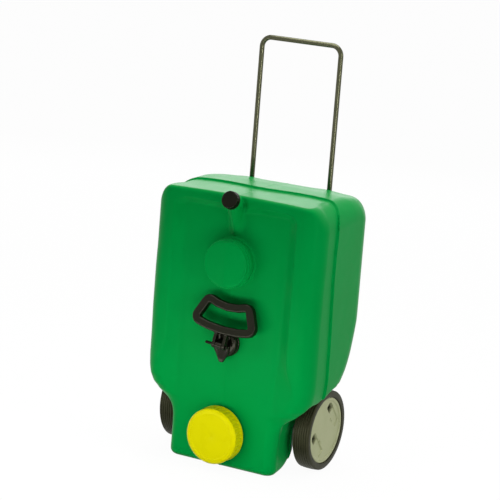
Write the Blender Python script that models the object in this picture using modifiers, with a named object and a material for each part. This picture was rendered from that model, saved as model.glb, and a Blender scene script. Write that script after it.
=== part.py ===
"""Wheeled waste water tank: a blow-moulded tank on two wheels with a sliding pull handle.

Metres, +Z up. The front of the tank faces -Y, and X runs across its width.
Heights are measured from the ground. Depths are measured from the front face of the
tank's raised rim towards the back, and at_depth() turns them into Y.
"""

import math

import bmesh
import bpy
from mathutils import Matrix, Vector

# Tank body
BODY_WIDTH = 0.385
BODY_DEPTH = 0.232
BODY_HEIGHT = 0.5585
FRONT_STEP = 0.003
WALL = 0.0032
FRONT_CORNER = 0.040
REAR_CORNER = 0.050
TOP_SIDE_ROUND = 0.038
TOP_FRONT_ROUND = 0.012
TOP_REAR_ROUND = 0.025
SEAM_DEPTH_SIDE = 0.070
SEAM_DEPTH_MIDDLE = 0.126
SEAM_BOW_LOW = 0.4025
SEAM_BOW_HIGH = 0.5225
SEAM_BOW_POWER = 2.6
SEAM_STEPS = 16

# Narrow lower part between the wheels
FOOT_WIDTH = 0.250
FOOT_CORNER = 0.025
FOOT_REAR_CORNER = 0.012
FOOT_ROUND = 0.014
SHOULDER_LOW = 0.0745
SHOULDER_HIGH = 0.1745
UNDERSIDE = (
    (0.026, 0.0),
    (0.045, 0.0040),
    (0.060, 0.0100),
    (0.072, 0.0185),
    (0.085, 0.0290),
    (0.100, 0.0405),
    (0.115, 0.0500),
    (0.232, 0.1000),
)
BACK_BEND_HEIGHT = 0.3125
BACK_BEND_FORWARD = 0.042
BACK_BEND_DROP = 0.124

# Shallow panel in the front face
PANEL_SUNK = 0.008
PANEL_HALF = 0.124
PANEL_TOP = 0.5205
PANEL_WALL_RUN = 0.022
PANEL_CORNER = 0.022
PANEL_FADE_LOW = 0.0525
PANEL_FADE_HIGH = 0.2245
PANEL_CLEAR = 0.0005

# Threaded necks
NECK_RADIUS = 0.0475
NECK_REACH = 0.034
NECK_BORE = 0.0425
THREAD_RISE = 0.0022
MOUTH_HEIGHT = 0.0720
MOUTH_FORWARD = 0.0016
BLANK_HEIGHT = 0.4210

# Screw cap of the mouth
CAP_RADIUS = 0.0565
CAP_LENGTH = 0.0325
CAP_TOP = 0.0038
CAP_WALL = 0.0038
CAP_RIBS = 36
CAP_RIB_DEEP = 0.0013
CAP_CHAMFER = 2.5
SEAL_THICK = 0.0020

# Vent spout near the top
SPOUT_TILT = math.radians(70.0)
SPOUT_RADIUS = 0.0130
SPOUT_BORE = 0.0095
SPOUT_END_FORWARD = 0.024
SPOUT_END_HEIGHT = 0.5500
SPOUT_ROOT = 0.050
SPOUT_FAIRING_LOW = 0.4825
SPOUT_FAIRING_TIP = 0.004
SPOUT_NOTCH_HALF = 0.024
SPOUT_NOTCH_TOP = 0.5495
VENT_CAP_RADIUS = 0.0176
VENT_CAP_LENGTH = 0.0125
VENT_CAP_TOP = 0.0028
VENT_CAP_RIBS = 18
VENT_CAP_RIB_DEEP = 0.0008

# Wheels and axle
WHEEL_RADIUS = 0.0825
WHEEL_OUTER_X = 0.1735
WHEEL_DEPTH = 0.1345
TYRE_WIDTH = 0.036
TYRE_DEEP = 0.0143
TYRE_EDGE = 0.0030
TREAD_RIBS = 4
TREAD_GROOVE = 0.0012
WHEEL_STEPS = 36
DISC_SUNK = 0.0015
DISC_DISH = 0.0025
DISC_WALL = 0.005
AXLE_RADIUS = 0.005
HUB_RADIUS = 0.015
HUB_REACH = 0.010
BUSH_LENGTH = 0.020
BUSH_WALL = 0.0035
PUSH_NUT_THICK = 0.0015
WELL_RADIUS = 0.095
WELL_REACH = 0.1085
WELL_CEILING = 0.1535
WELL_FILLET = 0.018
WELL_REAR_CEILING = 0.1815
SADDLE_X = 0.088
SADDLE_WIDTH = 0.024
SADDLE_WALL = 0.005
SADDLE_EAR = 0.005
SADDLE_EAR_TALL = 0.014
SADDLE_SCREW_X = 0.006

# Pull handle
ROD_RADIUS = 0.0052
ROD_SPREAD = 0.0900
ROD_TOP = 0.8445
ROD_BEND = 0.0205
ROD_LEAN = math.radians(0.2)
ROD_INSET = 0.0085
CHANNEL_WIDTH = 0.0165
CHANNEL_CLEAR = 0.0080
CHANNEL_LOW = 0.1425
GUIDE_HEIGHT = 0.022
GUIDE_UPPER_DROP = 0.034
GUIDE_LOWER_DROP = 0.078
GUIDE_FLANGE = 0.0032
GUIDE_FLANGE_WIDTH = 0.040
GUIDE_SCREW_X = 0.0145
STOP_RADIUS = 0.0074
STOP_LENGTH = 0.012
STOP_END = 0.004

# Folding carry handle on its swivel
SWIVEL_DROP = 0.1635
SWIVEL_TURN = math.radians(4.0)
PIVOT_OUT = 0.0260
PIN_RADIUS = 0.0030
PIN_LEFT = 0.030
PIN_RIGHT = 0.019
GRIP_HALF = 0.0085
GRIP_ROUND = 0.0030
GRIP_LOW = 0.0400
GRIP_HIGH = 0.0830
GRIP_LOW_HALF = 0.0675
GRIP_HIGH_HALF = 0.0458
GRIP_SAG = 0.0100
GRIP_CORNER = 0.0105
GRIP_REST_GAP = 0.0025
FORK_GAP = 0.0160
FORK_ARM = 0.0065
FORK_EYE = 0.0070
TONGUE_RADIUS = 0.0070
BASE_RADIUS = 0.0285
BASE_THICK = 0.0045
SKIRT_RADIUS = 0.0280
SKIRT_TALL = 0.0100
STUD_RADIUS = 0.0095
SHIELD_HALF = 0.0165
SHIELD_TIP_HALF = 0.0040
SHIELD_DROP = 0.0380
SHIELD_FRONT = 0.0245
SHIELD_BEND = 0.0140
SHIELD_TAPER = 0.25
BASE_SCREW_RADIUS = 0.0235

# Screws
SCREW_HEAD = 0.0034
SCREW_HEAD_TALL = 0.0020
SCREW_SHANK = 0.0015

# Clearances
SEAT_GAP = 0.0003
RUN_GAP = 0.0006

# How far the cutting solids reach past the faces they cut through
OVERCUT = 0.050

# Worked-out places
REAR_PROUD = GUIDE_FLANGE + 2 * SEAT_GAP + SCREW_HEAD_TALL
UNDER_CAP = SEAL_THICK + 2 * SEAT_GAP
VENT_EDGE = VENT_CAP_RADIUS - CAP_CHAMFER * VENT_CAP_RIB_DEEP
VENT_PROUD = (
    SPOUT_END_FORWARD
    + (UNDER_CAP + VENT_CAP_TOP) * math.sin(SPOUT_TILT)
    + VENT_EDGE * math.cos(SPOUT_TILT)
)
FRONT_Y = (VENT_PROUD - BODY_DEPTH - REAR_PROUD) / 2
HALF_WIDTH = BODY_WIDTH / 2
HALF_FOOT = FOOT_WIDTH / 2
WHEEL_CENTRE_Z = WHEEL_RADIUS
WELL_FRONT = WHEEL_DEPTH - WELL_REACH
ROD_DEPTH_AT_TOP = BODY_DEPTH - ROD_INSET
SWIVEL_HEIGHT = BLANK_HEIGHT - SWIVEL_DROP
GUIDE_UPPER_Z = BODY_HEIGHT - GUIDE_UPPER_DROP
GUIDE_LOWER_Z = BODY_HEIGHT - GUIDE_LOWER_DROP
STOP_TOP = GUIDE_LOWER_Z - GUIDE_HEIGHT / 2 - RUN_GAP - STOP_RADIUS * math.sin(ROD_LEAN)
ROD_LENGTH = (ROD_TOP - STOP_TOP) / math.cos(ROD_LEAN) + STOP_LENGTH - STOP_END
SKIRT_LOW = BASE_THICK + SCREW_HEAD_TALL + 2 * SEAT_GAP
ROUND_STEPS = 32

Y_AXIS_OUT = Matrix.Rotation(math.radians(90.0), 4, "X")


def at_depth(depth):
    """Y of a point that lies this far behind the rim's front face."""
    return FRONT_Y + depth


def clear_scene():
    for obj in list(bpy.data.objects):
        bpy.data.objects.remove(obj, do_unlink=True)


def make_collection(name):
    collection = bpy.data.collections.new(name)
    bpy.context.scene.collection.children.link(collection)
    return collection


clear_scene()
PARTS = make_collection("waste_water_tank")
CUTTERS = make_collection("cutters")


def make_material(name, colour, roughness, metallic=0.0):
    material = bpy.data.materials.new(name)
    material.use_nodes = True
    shader = material.node_tree.nodes["Principled BSDF"]
    shader.inputs["Base Color"].default_value = (*colour, 1.0)
    shader.inputs["Roughness"].default_value = roughness
    shader.inputs["Metallic"].default_value = metallic
    return material


GREEN = (0.000, 0.262, 0.055)
YELLOW = (0.760, 0.700, 0.010)
BLACK = (0.022, 0.019, 0.016)
GREY = (0.400, 0.405, 0.330)
STEEL = (0.560, 0.560, 0.500)
RUBBER = (0.028, 0.028, 0.024)


def add_object(name, mesh, material=None, collection=PARTS):
    obj = bpy.data.objects.new(name, mesh)
    collection.objects.link(obj)
    if material is not None:
        mesh.materials.append(material)
    return obj


def mesh_from(bm, name):
    bmesh.ops.recalc_face_normals(bm, faces=bm.faces)
    mesh = bpy.data.meshes.new(name)
    bm.to_mesh(mesh)
    bm.free()
    return mesh


def as_cutter(obj):
    obj.hide_render = True
    obj.display_type = "WIRE"
    return obj


def combine(obj, other, operation):
    modifier = obj.modifiers.new(f"{operation.lower()}_{other.name}", "BOOLEAN")
    modifier.operation = operation
    modifier.object = other
    modifier.solver = "EXACT"


def cut(obj, other):
    combine(obj, other, "DIFFERENCE")


def join(obj, other):
    combine(obj, other, "UNION")


def bevel(obj, width, segments=2, angle=40.0):
    modifier = obj.modifiers.new("rounded_edges", "BEVEL")
    modifier.width = width
    modifier.segments = segments
    modifier.limit_method = "ANGLE"
    modifier.angle_limit = math.radians(angle)


def smooth(obj, angle=35.0):
    obj.data.shade_smooth()
    obj.data.set_sharp_from_angle(angle=math.radians(angle))


def fill_box(bm, low, high):
    """Add a box between two corners to a bmesh."""
    low, high = Vector(low), Vector(high)
    size = high - low
    matrix = Matrix.Translation((low + high) / 2) @ Matrix.Diagonal((*size, 1.0))
    bmesh.ops.create_cube(bm, size=1.0, matrix=matrix)


def fill_cylinder(bm, start, end, radius, end_radius=None, segments=32):
    """Add a capped cylinder or cone between two points to a bmesh."""
    start, end = Vector(start), Vector(end)
    along = end - start
    turn = Vector((0, 0, 1)).rotation_difference(along).to_matrix().to_4x4()
    bmesh.ops.create_cone(
        bm,
        cap_ends=True,
        segments=segments,
        radius1=radius,
        radius2=radius if end_radius is None else end_radius,
        depth=along.length,
        matrix=Matrix.Translation((start + end) / 2) @ turn,
    )


def loft(name, rings, material=None, collection=PARTS, twisted=False):
    """Skin a stack of rings with equal point counts, and cap both ends.

    Twisted sides are split into triangles, because their four corners share no plane.
    """
    bm = bmesh.new()
    rows = [[bm.verts.new(point) for point in ring] for ring in rings]
    count = len(rows[0])
    for lower, upper in zip(rows, rows[1:]):
        for i in range(count):
            j = (i + 1) % count
            bm.faces.new((lower[i], lower[j], upper[j], upper[i]))
    bm.faces.new(rows[0])
    bm.faces.new(rows[-1])
    if twisted:
        bmesh.ops.triangulate(bm, faces=bm.faces[:])
    return add_object(name, mesh_from(bm, name), material, collection)


def prism(name, outline, axis, low, high, collection=PARTS, material=None):
    """Extrude a flat outline of (u, v) points along X or Y between two values."""
    if axis == "X":
        rings = [[(value, u, v) for u, v in outline] for value in (low, high)]
    else:
        rings = [[(u, value, v) for u, v in outline] for value in (low, high)]
    return loft(name, rings, material, collection)


def turned(name, profile, matrix, material=None, steps=ROUND_STEPS, collection=PARTS, ring=False):
    """Turn a profile of (radius, height) points round Z, then place it with a matrix."""
    mesh = bpy.data.meshes.new(name)
    points = [(radius, 0.0, height) for radius, height in profile]
    edges = [(i, i + 1) for i in range(len(points) - 1)]
    if ring:
        edges.append((len(points) - 1, 0))
    mesh.from_pydata(points, edges, [])
    obj = add_object(name, mesh, material, collection)
    screw = obj.modifiers.new("turn", "SCREW")
    screw.axis = "Z"
    screw.angle = math.tau
    screw.steps = steps
    screw.render_steps = steps
    screw.use_merge_vertices = True
    screw.merge_threshold = 0.00001
    screw.use_smooth_shade = True
    obj.matrix_world = matrix
    return obj


def arc(centre, radius, start, stop, steps):
    """Points on an arc; angles in degrees."""
    points = []
    for i in range(steps + 1):
        angle = math.radians(start + (stop - start) * i / steps)
        points.append((centre[0] + radius * math.cos(angle), centre[1] + radius * math.sin(angle)))
    return points


def rounded_inset(round_radius, distance):
    """How far a quarter-round edge has drawn in at this distance from its end face."""
    if distance >= round_radius:
        return 0.0
    reach = round_radius - distance
    return round_radius - math.sqrt(max(round_radius**2 - reach**2, 0.0))


def ease(value, low, high):
    """0 below low, 1 above high, and a soft S between them."""
    t = min(max((value - low) / (high - low), 0.0), 1.0)
    return t * t * t * (t * (6 * t - 15) + 10)


def back_depth(z):
    """Depth of the tank's back at this height."""
    bend_end = BACK_BEND_HEIGHT - BACK_BEND_DROP
    knee = BODY_DEPTH - BACK_BEND_FORWARD
    axle_face = WHEEL_DEPTH - AXLE_RADIUS - 0.004
    if z >= BACK_BEND_HEIGHT:
        return BODY_DEPTH
    if z >= bend_end:
        return BODY_DEPTH - BACK_BEND_FORWARD * ((BACK_BEND_HEIGHT - z) / BACK_BEND_DROP) ** 1.6
    above_axle = WHEEL_CENTRE_Z + 0.014
    if z >= above_axle:
        share = (z - above_axle) / (bend_end - above_axle)
        return axle_face + (knee - axle_face) * share**1.3
    return axle_face


def body_ring(z, width_less, height_less, wall=0.0, corner_steps=5):
    """Horizontal section of the tank, or of the room inside its wall, with rounded corners."""
    from_top = BODY_HEIGHT - height_less - wall - z
    shoulder = ease(z, SHOULDER_LOW, SHOULDER_HIGH)
    bottom_in = rounded_inset(FOOT_ROUND, max(z - wall, 0.0))
    half = HALF_FOOT + (HALF_WIDTH - HALF_FOOT) * shoulder - width_less - wall
    front = wall
    slope = (back_depth(z + 0.004) - back_depth(z - 0.004)) / 0.008
    back = back_depth(z) - width_less - wall * math.hypot(1.0, slope)
    side_in = rounded_inset(TOP_SIDE_ROUND, from_top) + bottom_in
    front_in = rounded_inset(TOP_FRONT_ROUND, from_top) + bottom_in
    back_in = rounded_inset(TOP_REAR_ROUND, from_top)
    corner = FOOT_CORNER + (FRONT_CORNER - FOOT_CORNER) * shoulder
    half -= side_in
    front += front_in
    back -= back_in
    rear_corner = FOOT_REAR_CORNER + (REAR_CORNER - FOOT_REAR_CORNER) * shoulder
    front_rx, front_ry = max(corner - side_in, 0.006), max(corner - front_in, 0.006)
    rear_rx, rear_ry = max(rear_corner - side_in, 0.006), max(rear_corner - back_in, 0.006)
    corners = (
        (half - front_rx, front + front_ry, front_rx, front_ry, -90),
        (half - rear_rx, back - rear_ry, rear_rx, rear_ry, 0),
        (-half + rear_rx, back - rear_ry, rear_rx, rear_ry, 90),
        (-half + front_rx, front + front_ry, front_rx, front_ry, 180),
    )
    ring = []
    for x, depth, rx, ry, start in corners:
        for px, py in arc((0.0, 0.0), 1.0, start, start + 90, corner_steps):
            ring.append((x + rx * px, at_depth(depth + ry * py), z))
    return ring


def body_levels(low, top, finer):
    """Heights of the sections: close together where the outline curves."""
    bottom_angles = (0, 25, 45, 68, 90) if finer else (0, 45, 90)
    top_angles = (0, 20, 38, 54, 68, 80, 90) if finer else (0, 34, 62, 90)
    shoulder_steps, bend_steps = (10, 5) if finer else (5, 3)
    levels = [low + FOOT_ROUND * (1 - math.cos(math.radians(a))) for a in bottom_angles]
    shoulder_rise = SHOULDER_HIGH - SHOULDER_LOW
    levels += [SHOULDER_LOW + shoulder_rise * i / shoulder_steps for i in range(shoulder_steps + 1)]
    bend_low = BACK_BEND_HEIGHT - BACK_BEND_DROP
    levels += [bend_low + BACK_BEND_DROP * i / bend_steps for i in range(bend_steps + 1)]
    levels += [top - TOP_SIDE_ROUND * (1 - math.sin(math.radians(a))) for a in top_angles]
    return sorted(set(round(level, 6) for level in levels))


def body_form(name, width_less, height_less, collection=CUTTERS, material=None):
    levels = body_levels(0.0, BODY_HEIGHT - height_less, True)
    rings = [body_ring(z, width_less, height_less) for z in levels]
    return loft(name, rings, material, collection)


def seam_depth(x, z):
    """Depth of the step between the tank's front and back halves, bowed across the top."""
    share = min(abs(x) / HALF_WIDTH, 1.0)
    bow = (SEAM_DEPTH_MIDDLE - SEAM_DEPTH_SIDE) * (1 - share**SEAM_BOW_POWER)
    return SEAM_DEPTH_SIDE + bow * ease(z, SEAM_BOW_LOW, SEAM_BOW_HIGH)


def seam_cutter(name, wall):
    """The room in front of the seam, or that room and a wall's thickness more."""
    reach = HALF_WIDTH + OVERCUT
    rings = []
    middle = (SEAM_BOW_LOW + SEAM_BOW_HIGH) / 2
    for z in (-OVERCUT, SEAM_BOW_LOW, middle, SEAM_BOW_HIGH, BODY_HEIGHT + OVERCUT):
        ring = [(-reach, at_depth(-OVERCUT), z), (reach, at_depth(-OVERCUT), z)]
        for i in range(SEAM_STEPS + 1):
            x = reach - 2 * reach * i / SEAM_STEPS
            ring.append((x, at_depth(seam_depth(x, z) + wall), z))
        rings.append(ring)
    return as_cutter(loft(name, rings, collection=CUTTERS, twisted=True))


def tray_cutter(name, half, low, top, corner, wall):
    """Solid that sinks a round-cornered tray with soft sloping sides into the front face."""
    rings = []
    shares = (0.0, 0.5, 1.0, 1.6) if wall else (0.0, 0.12, 0.5, 0.88, 1.0, 1.6)
    steps = 3 if wall else 5
    for share in shares:
        depth = PANEL_SUNK * (1.0 - share) + wall
        grow = PANEL_WALL_RUN * (share + 0.13 * math.sin(math.tau * min(share, 1.0))) + wall
        wide, high, radius = half + grow, top + 0.5 * grow, corner + 0.5 * grow
        outline = [(wide, low)]
        outline += arc((wide - radius, high - radius), radius, 0, 90, steps)
        outline += arc((-wide + radius, high - radius), radius, 90, 180, steps)
        outline.append((-wide, low))
        rings.append([(x, at_depth(depth), z) for x, z in outline])
    return as_cutter(loft(name, rings, collection=CUTTERS))


def panel_floor(z):
    """How far the panel lies behind the rim; low down it comes forward and ends."""
    return (PANEL_SUNK + PANEL_CLEAR) * ease(z, PANEL_FADE_LOW, PANEL_FADE_HIGH) - PANEL_CLEAR


def panel_cutter(name, wall):
    """Solid that sinks the panel into the front face, less and less deep towards the foot."""
    shares = (0.0, 0.5, 1.0, 1.6) if wall else (0.0, 0.12, 0.5, 0.88, 1.0, 1.6)
    steps, levels = (3, 4) if wall else (5, 8)
    fade = PANEL_FADE_HIGH - PANEL_FADE_LOW
    heights = [PANEL_FADE_LOW + fade * i / levels for i in range(levels + 1)]
    bm = bmesh.new()
    rows = []
    for share in shares:
        grow = PANEL_WALL_RUN * (share + 0.13 * math.sin(math.tau * min(share, 1.0))) + wall
        wide, high = PANEL_HALF + grow, PANEL_TOP + 0.5 * grow
        radius = PANEL_CORNER + 0.5 * grow
        outline = [(wide, z) for z in heights]
        outline += arc((wide - radius, high - radius), radius, 0, 90, steps)
        outline += arc((-wide + radius, high - radius), radius, 90, 180, steps)
        outline += [(-wide, z) for z in reversed(heights)]
        row = []
        for x, z in outline:
            sunk = PANEL_SUNK if share > 1.0 else panel_floor(min(z, PANEL_FADE_HIGH))
            row.append(bm.verts.new((x, at_depth(sunk * (1.0 - share) + wall), z)))
        rows.append(row)
    count = len(rows[0])
    sides = []
    for inner, outer in zip(rows, rows[1:]):
        for i in range(count - 1):
            sides.append(bm.faces.new((inner[i], inner[i + 1], outer[i + 1], outer[i])))
    bmesh.ops.triangulate(bm, faces=sides)
    floor = rows[0]
    for i in range(levels):
        bm.faces.new((floor[i], floor[i + 1], floor[count - 2 - i], floor[count - 1 - i]))
    bm.faces.new(floor[levels : count - levels])
    bm.faces.new(rows[-1])
    bm.faces.new([row[0] for row in rows] + [row[-1] for row in reversed(rows)])
    return as_cutter(add_object(name, mesh_from(bm, name), None, CUTTERS))


def cut_front_face(solid, name, wall):
    """Sink the panel and the notch round the spout into the front of a solid."""
    cut(solid, panel_cutter(f"{name}_panel", wall))
    notch_low = PANEL_TOP - PANEL_CORNER
    notch_half = SPOUT_NOTCH_HALF - PANEL_WALL_RUN / 2
    notch_top = SPOUT_NOTCH_TOP - PANEL_WALL_RUN / 2
    cut(solid, tray_cutter(f"{name}_notch", notch_half, notch_low, notch_top, 0.010, wall))


def well_outline(wall):
    """Side view of the wheel well: front wall, ceiling, arch over the wheel, open behind."""
    radius = WELL_RADIUS + wall
    start = math.degrees(math.acos((WELL_CEILING + wall - WHEEL_CENTRE_Z) / radius)) + 90
    fillet_centre = (WELL_FRONT + WELL_FILLET, WELL_CEILING - WELL_FILLET)
    outline = [(WELL_FRONT - wall, -OVERCUT)]
    outline += arc(fillet_centre, WELL_FILLET + wall, 180, 90, 4)
    outline += arc((WHEEL_DEPTH, WHEEL_CENTRE_Z), radius, start, 88, 6)
    outline.append((WHEEL_DEPTH + 0.030, WELL_REAR_CEILING + wall))
    outline.append((BODY_DEPTH + OVERCUT, WELL_REAR_CEILING + 0.006 + wall))
    outline.append((BODY_DEPTH + OVERCUT, -OVERCUT))
    return [(at_depth(depth), z) for depth, z in outline]


def well_cutters(name, wall):
    """The room of the two wheel wells, or that room with a wall's thickness round it."""
    cutters = []
    for side, word in ((-1, "left"), (1, "right")):
        inner = side * (HALF_FOOT - FRONT_STEP - wall)
        outer = side * (HALF_WIDTH + OVERCUT)
        outline = well_outline(wall)
        cutters.append(as_cutter(prism(f"{name}_{word}", outline, "X", inner, outer, CUTTERS)))
    return cutters


def underside_cutter(name, wall):
    """Solid below the foot, so that the bottom curves up towards the back."""
    lift = 1.25 * wall
    below = -FOOT_ROUND
    outline = [(at_depth(UNDERSIDE[0][0]), below)]
    outline += [(at_depth(depth), z + lift) for depth, z in UNDERSIDE]
    outline.append((at_depth(UNDERSIDE[-1][0]), below))
    return as_cutter(prism(name, outline, "X", -HALF_WIDTH, HALF_WIDTH, CUTTERS))


def rod_depth(z):
    """Depth of the pull handle's legs at this height; they lean back a little."""
    return ROD_DEPTH_AT_TOP + (z - BODY_HEIGHT) * math.tan(ROD_LEAN)


def rod_point(x, z):
    return Vector((x, at_depth(rod_depth(z)), z))


def leaning_box(bm, side, half_width, front_gap, back_gap, low, high):
    """Box that leans with the handle's legs, from front_gap before them to back_gap behind."""
    corners = []
    for z in (low, high):
        depth = rod_depth(z)
        for x, d in (
            (-half_width, depth - front_gap),
            (half_width, depth - front_gap),
            (half_width, depth + back_gap),
            (-half_width, depth + back_gap),
        ):
            corners.append(bm.verts.new((side * ROD_SPREAD + x, at_depth(d), z)))
    quads = ((3, 2, 1, 0), (4, 5, 6, 7), (0, 1, 5, 4), (1, 2, 6, 5), (2, 3, 7, 6), (3, 0, 4, 7))
    for quad in quads:
        bm.faces.new([corners[i] for i in quad])


def channel_object(name, half_width, clear, low, high):
    bm = bmesh.new()
    for side in (1, -1):
        leaning_box(bm, side, half_width, clear, ROD_INSET + OVERCUT, low, high)
    return as_cutter(add_object(name, mesh_from(bm, name), None, CUTTERS))


def spout_point(distance):
    """Point on the vent spout's axis, measured down from the spout's open end."""
    end = Vector((0.0, at_depth(-SPOUT_END_FORWARD), SPOUT_END_HEIGHT))
    return end - spout_axis() * distance


def spout_axis():
    return Vector((0.0, -math.sin(SPOUT_TILT), math.cos(SPOUT_TILT)))


def spout_matrix(distance=0.0):
    """Frame on the spout's open end, with Z pointing out along its axis."""
    turn = Matrix.Rotation(SPOUT_TILT, 4, "X")
    return Matrix.Translation(spout_point(distance)) @ turn


def neck_profile(closed_end):
    """Outside of a threaded neck, measured out from behind the panel; r, height."""
    buried = 0.006
    root = NECK_RADIUS
    crest = NECK_RADIUS + THREAD_RISE
    ridge = 0.0016
    points = [(0.0, NECK_REACH), (root - 0.001, NECK_REACH), (root, NECK_REACH - 0.001)]
    if closed_end:
        points = [(0.0, NECK_REACH - 0.0004)] + points[1:]
    for height in (0.026, 0.017):
        points += [(root, height + 1.5 * ridge), (crest, height), (root, height - 1.5 * ridge)]
    points += [(root, -buried), (0.0, -buried)]
    return points


def neck_matrix(height, forward=0.0):
    return Matrix.Translation((0.0, at_depth(PANEL_SUNK - forward), height)) @ Y_AXIS_OUT


def make_cavity():
    """The room inside the tank, one wall's thickness in from the outside."""
    rings = []
    for z in body_levels(WALL, BODY_HEIGHT - FRONT_STEP - WALL, False):
        rings.append(body_ring(z, FRONT_STEP, FRONT_STEP, WALL, 3))
    cavity = as_cutter(loft("cavity", rings, collection=CUTTERS))
    rings = []
    for z in body_levels(WALL, BODY_HEIGHT - WALL, False):
        rings.append(body_ring(z, 0.0, 0.0, WALL, 3))
    back = as_cutter(loft("cavity_back", rings, collection=CUTTERS))
    cut(back, seam_cutter("seam_wall", WALL))
    join(cavity, back)
    cut_front_face(cavity, "front_wall", WALL)
    for cutter in well_cutters("well_wall", WALL):
        cut(cavity, cutter)
    cut(cavity, underside_cutter("underside_wall", WALL))
    half = CHANNEL_WIDTH / 2 + WALL
    low, high = CHANNEL_LOW - WALL, BODY_HEIGHT + OVERCUT
    cut(cavity, channel_object("channel_walls", half, CHANNEL_CLEAR + WALL, low, high))
    return cavity


def make_tank():
    green = make_material("green_polyethylene", GREEN, 0.32)
    tank = body_form("tank_shell", FRONT_STEP, FRONT_STEP, PARTS, green)
    back_half = as_cutter(body_form("back_half", 0.0, 0.0))
    cut(back_half, seam_cutter("seam", 0.0))
    join(tank, back_half)
    cut_front_face(tank, "front", 0.0)
    for cutter in well_cutters("well", 0.0):
        cut(tank, cutter)
    cut(tank, underside_cutter("underside", 0.0))
    channels = channel_object(
        "rod_channels", CHANNEL_WIDTH / 2, CHANNEL_CLEAR, CHANNEL_LOW, BODY_HEIGHT + OVERCUT
    )
    cut(tank, channels)

    spout_bm = bmesh.new()
    fill_cylinder(spout_bm, spout_point(SPOUT_ROOT), spout_point(0.0), SPOUT_RADIUS)
    spout = add_object("vent_spout", mesh_from(spout_bm, "vent_spout"), None, CUTTERS)
    join(tank, as_cutter(spout))
    fairing_bm = bmesh.new()
    fairing_top = spout_point(VENT_CAP_LENGTH + SPOUT_RADIUS) + Vector((0.0, 0.0, 0.003))
    fairing_low = (0.0, at_depth(PANEL_SUNK + SPOUT_FAIRING_TIP / 2), SPOUT_FAIRING_LOW)
    fill_cylinder(fairing_bm, fairing_low, fairing_top, SPOUT_FAIRING_TIP, SPOUT_RADIUS, 20)
    fairing = add_object("spout_fairing", mesh_from(fairing_bm, "fairing"), None, CUTTERS)
    join(tank, as_cutter(fairing))
    mouth_root = neck_matrix(MOUTH_HEIGHT, MOUTH_FORWARD)
    mouth = turned("mouth_neck", neck_profile(False), mouth_root, collection=CUTTERS)
    blank = turned("blank_neck", neck_profile(True), neck_matrix(BLANK_HEIGHT), collection=CUTTERS)
    join(tank, as_cutter(mouth))
    join(tank, as_cutter(blank))

    cut(tank, make_cavity())
    bore_bm = bmesh.new()
    mouth_start = (0.0, at_depth(0.030), MOUTH_HEIGHT)
    mouth_end = (0.0, at_depth(-NECK_REACH - MOUTH_FORWARD), MOUTH_HEIGHT)
    fill_cylinder(bore_bm, mouth_start, mouth_end, NECK_BORE, segments=ROUND_STEPS)
    fill_cylinder(bore_bm, spout_point(SPOUT_ROOT + 0.01), spout_point(-0.01), SPOUT_BORE)
    blank_start = (0.0, at_depth(0.030), BLANK_HEIGHT)
    blank_end = (0.0, at_depth(PANEL_SUNK - NECK_REACH + WALL), BLANK_HEIGHT)
    fill_cylinder(bore_bm, blank_start, blank_end, NECK_BORE, segments=ROUND_STEPS)
    bores = add_object("bores", mesh_from(bore_bm, "bores"), None, CUTTERS)
    cut(tank, as_cutter(bores))
    return tank


def ribbed_ring(bm, radius, depth_of_rib, ribs, height):
    """Ring of vertices whose radius rises and falls once for each grip rib."""
    points = []
    for i in range(ribs):
        for share, rise in ((0.0, 1.0), (0.4, 1.0), (0.7, 0.0)):
            angle = math.tau * (i + share) / ribs
            r = radius - depth_of_rib * (1.0 - rise)
            points.append(bm.verts.new((r * math.cos(angle), r * math.sin(angle), height)))
    return points


def ribbed_cap(name, radius, length, top, wall, ribs, rib_deep, matrix, material):
    """Screw cap with grip ribs; its rim is at height 0 and its top face at length."""
    bm = bmesh.new()
    edge = 0.10 * length
    rows = [
        ribbed_ring(bm, radius, 0.0, ribs, 0.0),
        ribbed_ring(bm, radius, 0.0, ribs, edge),
        ribbed_ring(bm, radius, rib_deep, ribs, edge + rib_deep),
        ribbed_ring(bm, radius, rib_deep, ribs, length - 2.0 * edge),
        ribbed_ring(bm, radius - rib_deep, 0.0, ribs, length - 0.6 * edge),
        ribbed_ring(bm, radius - CAP_CHAMFER * rib_deep, 0.0, ribs, length),
    ]
    count = len(rows[0])
    for lower, upper in zip(rows, rows[1:]):
        for i in range(count):
            j = (i + 1) % count
            bm.faces.new((lower[i], lower[j], upper[j], upper[i]))
    bm.faces.new(rows[0])
    bm.faces.new(rows[-1])
    cap = add_object(name, mesh_from(bm, name), material)
    cap.matrix_world = matrix
    bm = bmesh.new()
    fill_cylinder(bm, (0, 0, -0.01), (0, 0, length - top), radius - rib_deep - wall, segments=ROUND_STEPS)
    hollow = add_object(f"{name}_hollow", mesh_from(bm, name), None, CUTTERS)
    hollow.matrix_world = matrix
    cut(cap, as_cutter(hollow))
    return cap


def flat_ring(name, outer, inner, thick, matrix, material, steps=ROUND_STEPS):
    """Flat washer whose lower face is at height 0."""
    profile = [(outer, thick), (outer, 0.0), (inner, 0.0), (inner, thick)]
    return turned(name, profile, matrix, material, steps, ring=True)


def make_mouth_cap():
    yellow = make_material("yellow_polypropylene", YELLOW, 0.30)
    seal_rubber = make_material("drain_seal_rubber", RUBBER, 0.7)
    neck_end = neck_matrix(MOUTH_HEIGHT, MOUTH_FORWARD + NECK_REACH)
    seal_matrix = neck_end @ Matrix.Translation((0, 0, SEAT_GAP))
    flat_ring("drain_seal", NECK_RADIUS, NECK_BORE - 0.002, SEAL_THICK, seal_matrix, seal_rubber)
    lip = UNDER_CAP + CAP_TOP - CAP_LENGTH
    matrix = neck_end @ Matrix.Translation((0, 0, lip))
    sizes = (CAP_RADIUS, CAP_LENGTH, CAP_TOP, CAP_WALL, CAP_RIBS, CAP_RIB_DEEP)
    ribbed_cap("drain_cap", *sizes, matrix, yellow)


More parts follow.
